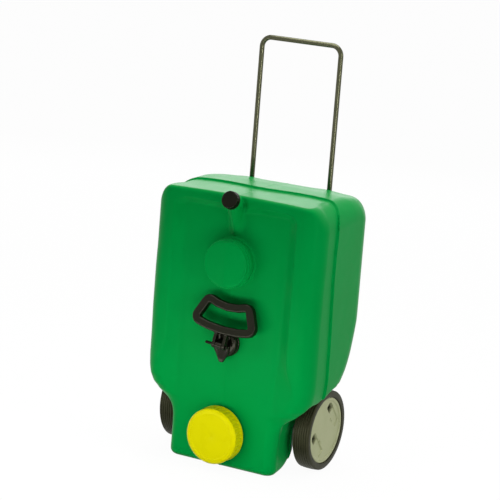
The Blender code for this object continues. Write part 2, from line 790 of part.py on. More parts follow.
def make_vent_cap():
    black = make_material("vent_cap_black", BLACK, 0.45)
    seal_rubber = make_material("vent_seal_rubber", RUBBER, 0.7)
    seal_matrix = spout_matrix() @ Matrix.Translation((0, 0, SEAT_GAP))
    flat_ring("vent_seal", SPOUT_RADIUS, SPOUT_BORE - 0.001, SEAL_THICK, seal_matrix, seal_rubber, 24)
    lip = UNDER_CAP + VENT_CAP_TOP - VENT_CAP_LENGTH
    matrix = spout_matrix() @ Matrix.Translation((0, 0, lip))
    wall = VENT_CAP_RADIUS - VENT_CAP_RIB_DEEP - SPOUT_RADIUS - RUN_GAP
    sizes = (VENT_CAP_RADIUS, VENT_CAP_LENGTH, VENT_CAP_TOP, wall, VENT_CAP_RIBS)
    ribbed_cap("vent_cap", *sizes, VENT_CAP_RIB_DEEP, matrix, black)


def axle_frame(x, side):
    """Frame on the axle at this x, with Z pointing away from the tank."""
    turn = Matrix.Rotation(math.radians(90.0 * side), 4, "Y")
    return Matrix.Translation((x, at_depth(WHEEL_DEPTH), WHEEL_CENTRE_Z)) @ turn


def make_wheel(side, word):
    rubber = make_material(f"tyre_rubber_{word}", RUBBER, 0.65)
    grey = make_material(f"wheel_disc_grey_{word}", GREY, 0.4)
    nylon = make_material(f"wheel_bush_nylon_{word}", (0.60, 0.60, 0.55), 0.5)
    steel = make_material(f"push_nut_steel_{word}", STEEL, 0.35, 1.0)
    frame = axle_frame(side * WHEEL_OUTER_X, side)

    rim = WHEEL_RADIUS - TYRE_DEEP
    bevelled = 0.3 * TYRE_EDGE
    tread = [(WHEEL_RADIUS - TYRE_EDGE, 0.0), (WHEEL_RADIUS - bevelled, -bevelled)]
    pitch = (TYRE_WIDTH - 2 * TYRE_EDGE) / TREAD_RIBS
    for i in range(TREAD_RIBS):
        start = -TYRE_EDGE - i * pitch
        tread.append((WHEEL_RADIUS, start))
        tread.append((WHEEL_RADIUS, start - 0.7 * pitch))
        if i < TREAD_RIBS - 1:
            tread.append((WHEEL_RADIUS - TREAD_GROOVE, start - 0.85 * pitch))
    tread.append((WHEEL_RADIUS - bevelled, -TYRE_WIDTH + bevelled))
    tread.append((WHEEL_RADIUS - TYRE_EDGE, -TYRE_WIDTH))
    inner = rim + SEAT_GAP
    tread += [(inner, -TYRE_WIDTH), (inner, 0.0)]
    turned(f"tyre_{word}", tread, frame, rubber, WHEEL_STEPS, ring=True)

    bush_hole = AXLE_RADIUS + BUSH_WALL + SEAT_GAP
    face = -DISC_SUNK
    rim_back = -TYRE_WIDTH + 0.003
    web_back = face - DISC_DISH - DISC_WALL
    hub_back = -TYRE_WIDTH - HUB_REACH
    blind = face - DISC_WALL - 0.004
    disc = [
        (0.0, face - DISC_DISH),
        (rim - 0.012, face - DISC_DISH),
        (rim - 0.008, face),
        (rim - 0.001, face),
        (rim, face - 0.001),
        (rim, rim_back),
        (rim - DISC_WALL, rim_back),
        (rim - DISC_WALL, web_back),
        (HUB_RADIUS + 0.006, web_back),
        (HUB_RADIUS, web_back - 0.006),
        (HUB_RADIUS, hub_back),
        (bush_hole, hub_back),
        (bush_hole, blind),
        (0.0, blind),
    ]
    turned(f"wheel_disc_{word}", disc, frame, grey, WHEEL_STEPS)

    bush_frame = frame @ Matrix.Translation((0, 0, hub_back + 0.002))
    bush_sizes = (bush_hole - SEAT_GAP, AXLE_RADIUS + SEAT_GAP, BUSH_LENGTH)
    flat_ring(f"wheel_bush_{word}", *bush_sizes, bush_frame, nylon, 24)
    nut_frame = frame @ Matrix.Translation((0, 0, hub_back + 0.002 + BUSH_LENGTH + RUN_GAP))
    nut_sizes = (bush_hole - RUN_GAP, AXLE_RADIUS + SEAT_GAP, PUSH_NUT_THICK)
    flat_ring(f"push_nut_{word}", *nut_sizes, nut_frame, steel, 16)


def make_screw(name, frame, shank, material):
    """Pan-head screw: the frame's origin is where the head seats, and Z points out."""
    low = 0.35 * SCREW_HEAD_TALL
    profile = [
        (0.0, SCREW_HEAD_TALL),
        (0.6 * SCREW_HEAD, SCREW_HEAD_TALL),
        (SCREW_HEAD, low),
        (SCREW_HEAD, 0.0),
        (SCREW_SHANK, 0.0),
        (SCREW_SHANK, -shank),
        (0.0, -shank),
    ]
    turned(name, profile, frame, material, 8)


def drill(bm, frame, shank):
    """Add the clearance hole of a screw to a cutter's bmesh."""
    start = frame @ Vector((0, 0, 0.003))
    end = frame @ Vector((0, 0, -shank - 0.003))
    fill_cylinder(bm, start, end, SCREW_SHANK + SEAT_GAP, segments=8)


def make_axle():
    steel = make_material("axle_steel", STEEL, 0.35, 1.0)
    bm = bmesh.new()
    reach = WHEEL_OUTER_X - DISC_SUNK - DISC_WALL - 0.004 - RUN_GAP
    centre = (at_depth(WHEEL_DEPTH), WHEEL_CENTRE_Z)
    fill_cylinder(bm, (-reach, *centre), (reach, *centre), AXLE_RADIUS, segments=20)
    axle = add_object("axle", mesh_from(bm, "axle"), steel)
    smooth(axle)

    black = make_material("axle_saddle_black", BLACK, 0.5)
    screw_steel = make_material("saddle_screw_steel", STEEL, 0.4, 1.0)
    face = back_depth(WHEEL_CENTRE_Z) + SEAT_GAP
    for side, word in ((-1, "left"), (1, "right")):
        low_x = side * SADDLE_X - SADDLE_WIDTH / 2
        high_x = side * SADDLE_X + SADDLE_WIDTH / 2
        back = WHEEL_DEPTH + AXLE_RADIUS + SADDLE_WALL
        block_half = AXLE_RADIUS + SADDLE_WALL
        outline = [
            (face, block_half),
            (back, block_half),
            (back, -block_half),
            (face + SADDLE_EAR, -block_half),
            (face + SADDLE_EAR, -block_half - SADDLE_EAR_TALL),
            (face, -block_half - SADDLE_EAR_TALL),
        ]
        outline = [(at_depth(depth), WHEEL_CENTRE_Z + z) for depth, z in outline]
        saddle = prism(f"axle_saddle_{word}", outline, "X", low_x, high_x, PARTS, black)
        bevel(saddle, 0.0015, 2)
        hole = bmesh.new()
        fill_cylinder(
            hole,
            (low_x - 0.01, *centre),
            (high_x + 0.01, *centre),
            AXLE_RADIUS + SEAT_GAP,
            segments=20,
        )
        for number, dx in enumerate((-SADDLE_SCREW_X, SADDLE_SCREW_X), 1):
            seat = Vector(
                (
                    side * SADDLE_X + dx,
                    at_depth(face + SADDLE_EAR + SEAT_GAP),
                    WHEEL_CENTRE_Z - block_half - SADDLE_EAR_TALL / 2,
                )
            )
            frame = Matrix.Translation(seat) @ Matrix.Rotation(math.radians(-90), 4, "X")
            make_screw(f"saddle_screw_{word}_{number}", frame, SADDLE_EAR, screw_steel)
            drill(hole, frame, SADDLE_EAR)
        hole_obj = add_object(f"saddle_hole_{word}", mesh_from(hole, "hole"), None, CUTTERS)
        cut(saddle, as_cutter(hole_obj))


def make_pull_handle():
    steel = make_material("pull_rod_steel", STEEL, 0.22, 1.0)
    black = make_material("rod_stop_black", BLACK, 0.5)
    top_frame = Matrix.Translation(rod_point(0.0, ROD_TOP)) @ Matrix.Rotation(-ROD_LEAN, 4, "X")
    path = []
    for side in (-1, 1):
        leg = [(side * ROD_SPREAD, -ROD_LENGTH)]
        bend = arc((ROD_SPREAD - ROD_BEND, -ROD_BEND), ROD_BEND, 0, 90, 8)
        leg += [(side * x, z) for x, z in bend]
        path += leg if side < 0 else leg[::-1]
    curve = bpy.data.curves.new("pull_rod", "CURVE")
    curve.dimensions = "3D"
    curve.bevel_depth = ROD_RADIUS
    curve.bevel_resolution = 3
    curve.use_fill_caps = True
    spline = curve.splines.new("POLY")
    spline.points.add(len(path) - 1)
    for point, (x, z) in zip(spline.points, path):
        point.co = (x, 0.0, z, 1.0)
    curve.materials.append(steel)
    rod = bpy.data.objects.new("pull_rod", curve)
    PARTS.objects.link(rod)
    rod.matrix_world = top_frame
    bore = ROD_RADIUS + SEAT_GAP
    grip = STOP_LENGTH - STOP_END
    profile = [
        (0.0, -SEAT_GAP),
        (bore, -SEAT_GAP),
        (bore, grip),
        (STOP_RADIUS, grip),
        (STOP_RADIUS, -STOP_END + 0.002),
        (STOP_RADIUS - 0.002, -STOP_END),
        (0.0, -STOP_END),
    ]
    for side, word in ((-1, "left"), (1, "right")):
        foot = top_frame @ Matrix.Translation((side * ROD_SPREAD, 0.0, -ROD_LENGTH))
        turned(f"rod_stop_{word}", profile, foot, black, 20)


def make_guides():
    black = make_material("rod_guide_black", BLACK, 0.5)
    screw_steel = make_material("guide_screw_steel", STEEL, 0.4, 1.0)
    for level, z in (("upper", GUIDE_UPPER_Z), ("lower", GUIDE_LOWER_Z)):
        for side, word in ((-1, "left"), (1, "right")):
            low, high = z - GUIDE_HEIGHT / 2, z + GUIDE_HEIGHT / 2
            x = side * ROD_SPREAD
            half = CHANNEL_WIDTH / 2 - SEAT_GAP
            flange_half = GUIDE_FLANGE_WIDTH / 2
            front = rod_depth(high) - CHANNEL_CLEAR + SEAT_GAP
            flange_front = BODY_DEPTH + SEAT_GAP
            bm = bmesh.new()
            low_corner = (x - half, at_depth(front), low)
            fill_box(bm, low_corner, (x + half, at_depth(flange_front + 0.001), high))
            guide = add_object(f"rod_guide_{level}_{word}", mesh_from(bm, "guide"), black)
            flange = bmesh.new()
            fill_box(
                flange,
                (x - flange_half, at_depth(flange_front), low),
                (x + flange_half, at_depth(flange_front + GUIDE_FLANGE), high),
            )
            flange_name = f"guide_flange_{level}_{word}"
            flange_obj = add_object(flange_name, mesh_from(flange, "flange"), None, CUTTERS)
            join(guide, as_cutter(flange_obj))
            hole = bmesh.new()
            start, end = rod_point(x, low - 0.01), rod_point(x, high + 0.01)
            fill_cylinder(hole, start, end, ROD_RADIUS + RUN_GAP, segments=20)
            for number, dx in enumerate((-GUIDE_SCREW_X, GUIDE_SCREW_X), 1):
                seat = Vector((x + dx, at_depth(flange_front + GUIDE_FLANGE + SEAT_GAP), z))
                frame = Matrix.Translation(seat) @ Matrix.Rotation(math.radians(-90), 4, "X")
                make_screw(f"guide_screw_{level}_{word}_{number}", frame, GUIDE_FLANGE, screw_steel)
                drill(hole, frame, GUIDE_FLANGE)
            hole_name = f"guide_hole_{level}_{word}"
            cut(guide, as_cutter(add_object(hole_name, mesh_from(hole, "hole"), None, CUTTERS)))


def swivel_frame():
    """Frame on the swivel's axis at the panel: X across, Y into the tank, Z up."""
    place = Matrix.Translation((0.0, at_depth(PANEL_SUNK), SWIVEL_HEIGHT))
    return place @ Matrix.Rotation(SWIVEL_TURN, 4, "Y")


def grip_lean():
    """Lean at which the raised loop's top corners come close to the panel.

    The gap lets the loop turn upside down, where the panel comes forward behind it.
    """
    reach = PIVOT_OUT + PANEL_SUNK - GRIP_HALF - GRIP_REST_GAP
    return math.asin(reach / (GRIP_HIGH + GRIP_HALF + 0.5 * GRIP_SAG))


def grip_frame():
    """Frame on the loop's pin: X along the pin and Z up along the loop."""
    pivot = Matrix.Translation((0.0, -(PIVOT_OUT + PANEL_SUNK), 0.0))
    return swivel_frame() @ pivot @ Matrix.Rotation(-grip_lean(), 4, "X")


def round_corners(corners, radius, steps=4):
    """Closed outline whose sharp corners are arcs; corners that hardly turn stay as points."""
    outline = []
    count = len(corners)
    for i, corner in enumerate(corners):
        corner = Vector(corner)
        before = (Vector(corners[i - 1]) - corner).normalized()
        after = (Vector(corners[(i + 1) % count]) - corner).normalized()
        half_angle = before.angle(after) / 2
        if half_angle > math.radians(75):
            outline.append(tuple(corner))
            continue
        centre = corner + (before + after).normalized() * (radius / math.sin(half_angle))
        first = corner + before * (radius / math.tan(half_angle)) - centre
        turn = first.angle_signed(corner + after * (radius / math.tan(half_angle)) - centre)
        for step in range(steps + 1):
            spoke = first.copy()
            spoke.rotate(Matrix.Rotation(-turn * step / steps, 2))
            outline.append(tuple(centre + spoke))
    return outline


def loop_path():
    """Centre line of the fan-shaped loop in its own plane, as (x, z)."""
    bottom_sag = GRIP_SAG * 0.9
    corners = [(-GRIP_HIGH_HALF, GRIP_HIGH + GRIP_SAG / 2)]
    for share in (-0.5, 0.0, 0.5):
        drop = GRIP_SAG * (1.0 - 4.0 * (share / 2) ** 2)
        corners.append((GRIP_HIGH_HALF * share, GRIP_HIGH + GRIP_SAG / 2 - drop))
    corners.append((GRIP_HIGH_HALF, GRIP_HIGH + GRIP_SAG / 2))
    corners.append((GRIP_LOW_HALF, GRIP_LOW))
    for share in (0.5, 0.0, -0.5):
        drop = bottom_sag * (1.0 - 4.0 * (share / 2) ** 2)
        corners.append((GRIP_LOW_HALF * share, GRIP_LOW - drop))
    corners.append((-GRIP_LOW_HALF, GRIP_LOW))
    return round_corners(corners, GRIP_CORNER)


def sweep_loop(name, path, half, round_radius, material):
    """Sweep a rounded square along a closed flat path in the XZ plane."""
    section = []
    flat = half - round_radius
    for sx, sy, start in ((1, -1, -90), (1, 1, 0), (-1, 1, 90), (-1, -1, 180)):
        section += arc((sx * flat, sy * flat), round_radius, start, start + 90, 2)
    bm = bmesh.new()
    rows = []
    count = len(path)
    for i, (x, z) in enumerate(path):
        before, after = Vector(path[i - 1]), Vector(path[(i + 1) % count])
        here = Vector((x, z))
        enter, leave = (here - before).normalized(), (after - here).normalized()
        along = (enter + leave).normalized()
        stretch = 1.0 / max(along.dot(enter), 0.5)
        side = Vector((along.y, -along.x)) * stretch
        rows.append([bm.verts.new((x + side.x * u, v, z + side.y * u)) for u, v in section])
    ring = len(section)
    for i in range(count):
        here, after = rows[i], rows[(i + 1) % count]
        for j in range(ring):
            k = (j + 1) % ring
            bm.faces.new((here[j], here[k], after[k], after[j]))
    return add_object(name, mesh_from(bm, name), material)


def make_carry_handle():
    black = make_material("carry_handle_black", BLACK, 0.42)
    frame = grip_frame()
    loop = sweep_loop("carry_handle", loop_path(), GRIP_HALF, GRIP_ROUND, black)
    loop.matrix_world = frame
    arm_top = GRIP_LOW - 0.9 * GRIP_SAG
    for side, word in ((-1, "left"), (1, "right")):
        outline = [(FORK_EYE - 0.001, arm_top)]
        outline += [(y, z) for y, z in arc((0.0, 0.0), FORK_EYE, 0, -180, 8)]
        outline.append((-FORK_EYE + 0.001, arm_top))
        inner = side * FORK_GAP / 2
        outer = side * (FORK_GAP / 2 + FORK_ARM)
        arm = as_cutter(prism(f"fork_arm_{word}", outline, "X", inner, outer, CUTTERS))
        arm.matrix_world = frame
        join(loop, arm)
    eye = bmesh.new()
    reach = FORK_GAP / 2 + FORK_ARM + 0.01
    fill_cylinder(eye, (-reach, 0, 0), (reach, 0, 0), PIN_RADIUS + SEAT_GAP, segments=20)
    eye_obj = add_object("fork_eyes", mesh_from(eye, "fork_eyes"), None, CUTTERS)
    eye_obj.matrix_world = frame
    cut(loop, as_cutter(eye_obj))

    pin_black = make_material("handle_pin_black", BLACK, 0.4)
    pin = bmesh.new()
    fill_cylinder(pin, (-PIN_LEFT, 0, 0), (PIN_RIGHT, 0, 0), PIN_RADIUS, segments=20)
    pin_obj = add_object("handle_pin", mesh_from(pin, "handle_pin"), pin_black)
    pin_obj.matrix_world = frame
    smooth(pin_obj)


def make_handle_mount():
    black = make_material("handle_mount_black", BLACK, 0.5)
    outward = Matrix.Translation((0.0, at_depth(PANEL_SUNK), SWIVEL_HEIGHT)) @ Y_AXIS_OUT
    stud_tall = SKIRT_LOW + 0.4 * SKIRT_TALL
    profile = [
        (0.0, stud_tall),
        (STUD_RADIUS, stud_tall),
        (STUD_RADIUS, BASE_THICK),
        (BASE_RADIUS - 0.0015, BASE_THICK),
        (BASE_RADIUS, BASE_THICK - 0.0015),
        (BASE_RADIUS, SEAT_GAP),
        (0.0, SEAT_GAP),
    ]
    base = turned("handle_base", profile, outward, black, 28)
    screw_black = make_material("base_screw_black", BLACK, 0.4)
    holes = bmesh.new()
    for number, angle in enumerate((45, 165, 285), 1):
        turn = math.radians(angle)
        place = Vector((math.cos(turn), math.sin(turn), 0.0)) * BASE_SCREW_RADIUS
        place.z = BASE_THICK + SEAT_GAP
        screw_frame = outward @ Matrix.Translation(place)
        make_screw(f"base_screw_{number}", screw_frame, BASE_THICK - SEAT_GAP, screw_black)
        drill(holes, screw_frame, BASE_THICK)
    cut(base, as_cutter(add_object("base_holes", mesh_from(holes, "base_holes"), None, CUTTERS)))

    knuckle_black = make_material("handle_knuckle_black", BLACK, 0.45)
    high = SKIRT_LOW + SKIRT_TALL
    socket = STUD_RADIUS + SEAT_GAP
    skirt_profile = [
        (0.0, high),
        (SKIRT_RADIUS - 0.006, high),
        (SKIRT_RADIUS - 0.002, high - 0.002),
        (SKIRT_RADIUS, high - 0.006),
        (SKIRT_RADIUS, SKIRT_LOW),
        (socket, SKIRT_LOW),
        (socket, stud_tall + SEAT_GAP),
        (0.0, stud_tall + SEAT_GAP),
    ]
    outward_turned = swivel_frame() @ Y_AXIS_OUT
    knuckle = turned("handle_knuckle", skirt_profile, outward_turned, knuckle_black, 28)
    pivot_y = -(PIVOT_OUT + PANEL_SUNK)
    half = FORK_GAP / 2 - SEAT_GAP
    tongue = [(-high + 0.002, TONGUE_RADIUS + 0.004)]
    tongue += arc((pivot_y, 0.0), TONGUE_RADIUS, 90, 270, 8)
    tongue.append((-high + 0.002, -TONGUE_RADIUS - 0.004))
    tongue_obj = prism("knuckle_tongue", tongue, "X", -half, half, CUTTERS)
    over_stud = stud_tall + 2 * RUN_GAP
    rings = []
    for y, grow in ((-over_stud, 1.0), (-SHIELD_FRONT + 0.003, 1.0), (-SHIELD_FRONT, 0.82)):
        ring = []
        for x, z in (
            (SHIELD_HALF, -0.001),
            (SHIELD_HALF, -SHIELD_BEND),
            (SHIELD_TIP_HALF, -SHIELD_DROP),
            (-SHIELD_TIP_HALF, -SHIELD_DROP),
            (-SHIELD_HALF, -SHIELD_BEND),
            (-SHIELD_HALF, -0.001),
        ):
            swept = SHIELD_TAPER * max(-z - SHIELD_BEND, 0.0) - SHIELD_FRONT
            ring.append((x * grow, max(y, swept), z * grow))
        rings.append(ring)
    shield = loft("knuckle_shield", rings, collection=CUTTERS, twisted=True)
    for piece in (tongue_obj, shield):
        piece.matrix_world = swivel_frame()
        join(knuckle, as_cutter(piece))
    hole = bmesh.new()
    fill_cylinder(hole, (-0.02, 0, 0), (0.02, 0, 0), PIN_RADIUS + SEAT_GAP, segments=20)
    hole_obj = add_object("knuckle_hole", mesh_from(hole, "knuckle_hole"), None, CUTTERS)
    hole_obj.matrix_world = grip_frame()
    cut(knuckle, as_cutter(hole_obj))


make_tank()
make_mouth_cap()
make_vent_cap()
make_wheel(-1, "left")
make_wheel(1, "right")
make_axle()
make_pull_handle()
make_guides()
make_handle_mount()
make_carry_handle()
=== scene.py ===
"""Looks of a portable waste water tank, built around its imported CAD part.

Blender works in metres. The tank's own form is worked out in millimetres as (x, depth, z), where
depth is measured from the front face of the raised rim towards the back, and z from a little above
the floor, which lies at the height GROUND.
"""

import math

import bmesh
import bpy
import numpy as np
from mathutils import Matrix, Vector


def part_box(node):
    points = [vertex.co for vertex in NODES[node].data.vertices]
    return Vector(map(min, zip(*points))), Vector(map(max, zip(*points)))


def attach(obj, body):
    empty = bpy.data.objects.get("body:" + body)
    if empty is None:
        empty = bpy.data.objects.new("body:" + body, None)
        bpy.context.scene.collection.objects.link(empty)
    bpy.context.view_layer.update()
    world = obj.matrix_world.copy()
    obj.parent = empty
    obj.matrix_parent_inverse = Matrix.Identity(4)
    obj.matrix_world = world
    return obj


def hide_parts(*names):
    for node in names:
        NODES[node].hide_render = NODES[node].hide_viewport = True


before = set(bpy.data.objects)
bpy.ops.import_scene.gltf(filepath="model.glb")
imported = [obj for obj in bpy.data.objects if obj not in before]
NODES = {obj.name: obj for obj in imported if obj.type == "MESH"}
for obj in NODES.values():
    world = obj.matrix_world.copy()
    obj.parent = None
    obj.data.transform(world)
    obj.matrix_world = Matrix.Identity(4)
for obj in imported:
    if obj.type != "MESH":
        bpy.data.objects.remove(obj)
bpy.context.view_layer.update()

MM = 0.001
FRONT_Y = -0.101695

# Camera, solved from the photograph's straight edges, caps and wheels
IMAGE_PIXELS = 500
CAMERA_AZIMUTH = math.radians(28.24)
CAMERA_ELEVATION = math.radians(12.01)
CAMERA_ROLL = math.radians(4.43)
CAMERA_DISTANCE = 4.1749
CAMERA_TARGET = Vector((-0.0257, 0.0183, 0.4242))
FOCAL_PIXELS = 2064.5
SENSOR = 36.0

# Tank form, in millimetres
GROUND = -2.5
HALF_WIDTH = 192.8
TOP = 557.2
TOP_FALL, TOP_FALL_BACK = 2.8, 5.0
TOP_ROUND_FRONT, TOP_ROUND_REAR = 13.0, 25.0
TOP_ROUND_FRONT_MORE, TOP_ROUND_REAR_MORE = 38.0, 18.0
REAR_CORNER = 55.0
TABLE_LOW, TABLE_HIGH = -60.0, 660.0
GRID_LOW, GRID_HIGH = (-201.0, -42.0, -8.0), (201.0, 240.0, 566.0)
GRID_STEP = 2.0

# Front panel: it is sunk behind the rim, its edge slopes, and a low crest runs round it
PANEL_HALF = 127.0
PANEL_EDGE = 9.5
PANEL_CORNER = 27.0
PANEL_TOP, PANEL_TOP_DIP, PANEL_DIP_REACH = 528.2, 4.0, 36.0
PANEL_TOP_STEEP = 1.9
PANEL_DEPTH, PANEL_DEPTH_MORE = 5.2, 3.2
PANEL_DRAFT = 0.009
EDGE_SPAN, EDGE_POWER, EDGE_SOFT = 13.0, 1.35, 0.05
NOTCH_HALF, NOTCH_TOP, NOTCH_CORNER, NOTCH_SLOPE = 23.0, 547.0, 12.0, 7.0
VALLEY_PLACE, VALLEY_REACH = 112.0, 7.0
CREST_RISE, CREST_PLACE, CREST_REACH = 0.9, 19.5, 5.5

# Seam between the halves: a step whose line bows back on top and dips in the middle
SEAM_STEP, SEAM_SOFT = 3.8, 0.9
SEAM_DEPTH = 70.0
SEAM_BOW, SEAM_BOW_POWER = 44.0, 8
SEAM_DIP, SEAM_DIP_REACH = 14.0, 60.0
SEAM_LOW_LEAN = 9.0
PARTING_RISE, PARTING_REACH = 0.45, 1.1

# Wheels and their wells
AXLE_DEPTH, AXLE_HEIGHT = 134.5, 80.0
WHEEL_RADIUS = 82.5
WHEEL_OUTER = 173.5
WELL_FRONT, WELL_FRONT_TOP = 26.0, 151.0
WELL_RADIUS = 95.0
WELL_TOP, WELL_TOP_SLOPE = 176.8, 0.10
WELL_INNER = 123.5
TREAD_GROOVES, TREAD_PITCH, TREAD_CROWN = 6, 4.9, 1.0
TREAD_START, TREAD_MIDDLE, TREAD_HALF = -3.3, 18.0, 14.7
CENTRE_FACE = 1.2
POCKET_COS, POCKET_SIN = 0.756, 0.654

# Necks, boss, spout and caps
NECK_HEIGHT, BOSS_HEIGHT = 68.2, 418.5
NECK_BASE, BOSS_BASE = 6.4, 8.0
NECK_RADIUS, NECK_BORE, NECK_REACH = 47.5, 42.5, 34.0
NECK_ROWS, NECK_STEPS = 44, 128
THREAD_REACH, THREAD_EDGE = 1.3, 46.5
BOSS_FOOT_RADIUS, BOSS_FOOT_MIDDLE, BOSS_FOOT_HALF = 49.6, 9.0, 4.2
CAP_OVER_NECK = 26.1
SPOUT_END = np.array((0.0, -24.0, 547.5))
SPOUT_TILT = math.radians(70.0)
SPOUT_RADIUS, SPOUT_LENGTH = 13.0, 42.0
SPOUT_BORE, SPOUT_BORE_DEPTH = 9.5, 30.0
LIP_ROUND = 0.8
FAIRING_LOW, FAIRING_HIGH = (0.0, 10.0, 484.0), (0.0, -5.0, 533.0)
FAIRING_RADII = (7.0, 16.5)
VENT_CAP_LENGTH, VENT_CAP_PAST_SPOUT = 12.5, 5.4

# Pull rod and its channels
ROD_X = 90.0
ROD_DEPTH = 223.5
ROD_RADIUS = 5.2
ROD_BEND = 20.5
ROD_TOP = 842.0
ROD_EXIT = 556.0
ROD_LEAN = math.radians(0.2)
CHANNEL_RADIUS, CHANNEL_LOW = 8.25, 140.0


def smooth_table(points, spread):
    """Value at each height, from a few measured points, softened over a few millimetres."""
    heights, values = np.array(sorted(points), float).T
    grid = np.arange(TABLE_LOW, TABLE_HIGH)
    reach = int(3 * spread)
    weights = np.exp(-0.5 * (np.arange(-reach, reach + 1) / spread) ** 2)
    padded = np.pad(np.interp(grid, heights, values), reach, mode="edge")
    return grid, np.convolve(padded, weights / weights.sum(), "valid")


WIDTH_TABLE = smooth_table(
    [
        (60, 125.2), (80, 125.8), (92, 129.8), (101, 136.2), (109, 145.4), (116, 155.6),
        (123.5, 166.3), (138, 180.2), (156, 188.2), (174, 191.4), (195, HALF_WIDTH),
    ],
    3.5,
)
BACK_TABLE = smooth_table(
    [
        (60, 125.5), (95, 125.5), (186, 190), (201, 200), (217, 208), (232, 214), (248, 219),
        (264, 223.5), (280, 227.5), (296, 231), (312, 232),
    ],
    5.0,
)
CORNER_TABLE = smooth_table(
    [(80, 27), (150, 43), (240, 43), (300, 41), (380, 42), (430, 45), (560, 46)],
    6.0,
)
FADE_TABLE = smooth_table([(95, 70), (150, 34), (230, PANEL_EDGE)], 15.0)
UNDER_TABLE = smooth_table(
    [
        (-40, GROUND), (26, GROUND), (45, 0.5), (60, 5.5), (72, 14), (85, 25), (100, 37.5),
        (115, 47), (232, 97),
    ],
    4.0,
)


def ease(value, low, high):
    """Rise softly from nought at low to one at high."""
    t = np.clip((value - low) / (high - low), 0.0, 1.0)
    return t * t * (3.0 - 2.0 * t)


def between(value, rise, fall):
    """One between two soft steps, and nought outside them."""
    return ease(value, *rise) * (1.0 - ease(value, *fall))


def bell(value, middle, reach):
    """One at the middle, and softly less on both sides of it."""
    return np.exp(-(((value - middle) / reach) ** 2))


def at_place(table, place):
    """A table's value at a place, and its slope there."""
    value = np.interp(place, *table)
    return value, np.interp(place + 1.0, *table) - value


def smooth_min(a, b, reach):
    h = np.maximum(reach - np.abs(a - b), 0.0) / reach
    return np.minimum(a, b) - h * h * reach * 0.25


def smooth_max(a, b, reach):
    return -smooth_min(-a, -b, reach)


def round_max(a, b, radius):
    """Where two solids cross, with their shared edge rounded to a radius."""
    inner = np.minimum(np.maximum(a, b), -radius)
    return inner + np.hypot(np.maximum(a + radius, 0.0), np.maximum(b + radius, 0.0))


def panel_sink(x, z):
    """How far the front face lies behind the rim."""
    away = np.abs(x)
    run = np.interp(z, *FADE_TABLE)
    side = (away - PANEL_HALF - 0.5 * (run - PANEL_EDGE)) * EDGE_SPAN / run
    edge_height = PANEL_TOP - PANEL_TOP_DIP * bell(x, 0.0, PANEL_DIP_REACH)
    outward = round_max(side, (z - edge_height) * PANEL_TOP_STEEP, PANEL_CORNER)
    share = np.clip((outward + EDGE_SPAN) / (2.0 * EDGE_SPAN), 0.0, 1.2)
    panel = smooth_max(1.0 - share**EDGE_POWER, 0.0, EDGE_SOFT)
    notch = round_max(away - NOTCH_HALF, z - NOTCH_TOP, NOTCH_CORNER)
    notch = (1.0 - ease(notch, -NOTCH_SLOPE, NOTCH_SLOPE)) * ease(z, 470.0, 510.0)
    valley = bell(away, VALLEY_PLACE, VALLEY_REACH) * between(z, (60.0, 200.0), (460.0, 515.0))
    crest = CREST_RISE * bell(outward, CREST_PLACE, CREST_REACH)
    crest = crest * between(z, (110.0, 230.0), (522.0, 540.0))
    sunk = (PANEL_DEPTH + PANEL_DEPTH_MORE * ease(z, 0.0, 150.0)) * np.maximum(panel, notch)
    return sunk + (PANEL_DRAFT * away * panel + valley - crest)


def seam_depth(x, z):
    """How far back the seam lies."""
    share = np.minimum(np.abs(x) / HALF_WIDTH, 1.0)
    bow = SEAM_BOW * (1.0 - share**SEAM_BOW_POWER) - SEAM_DIP * bell(x, 0.0, SEAM_DIP_REACH)
    return SEAM_DEPTH + bow * ease(z, 410.0, 525.0) + SEAM_LOW_LEAN * ease(-z, -430.0, -200.0)


def capsule(x, depth, z, start, end, start_radius, end_radius):
    """Distance from a rod whose ends are round and differ in thickness."""
    along = np.array(end, float) - np.array(start, float)
    px, pd, pz = x - start[0], depth - start[1], z - start[2]
    share = np.clip((px * along[0] + pd * along[1] + pz * along[2]) / (along @ along), 0.0, 1.0)
    away = np.sqrt(
        (px - share * along[0]) ** 2 + (pd - share * along[1]) ** 2 + (pz - share * along[2]) ** 2
    )
    return away - (start_radius + (end_radius - start_radius) * share)


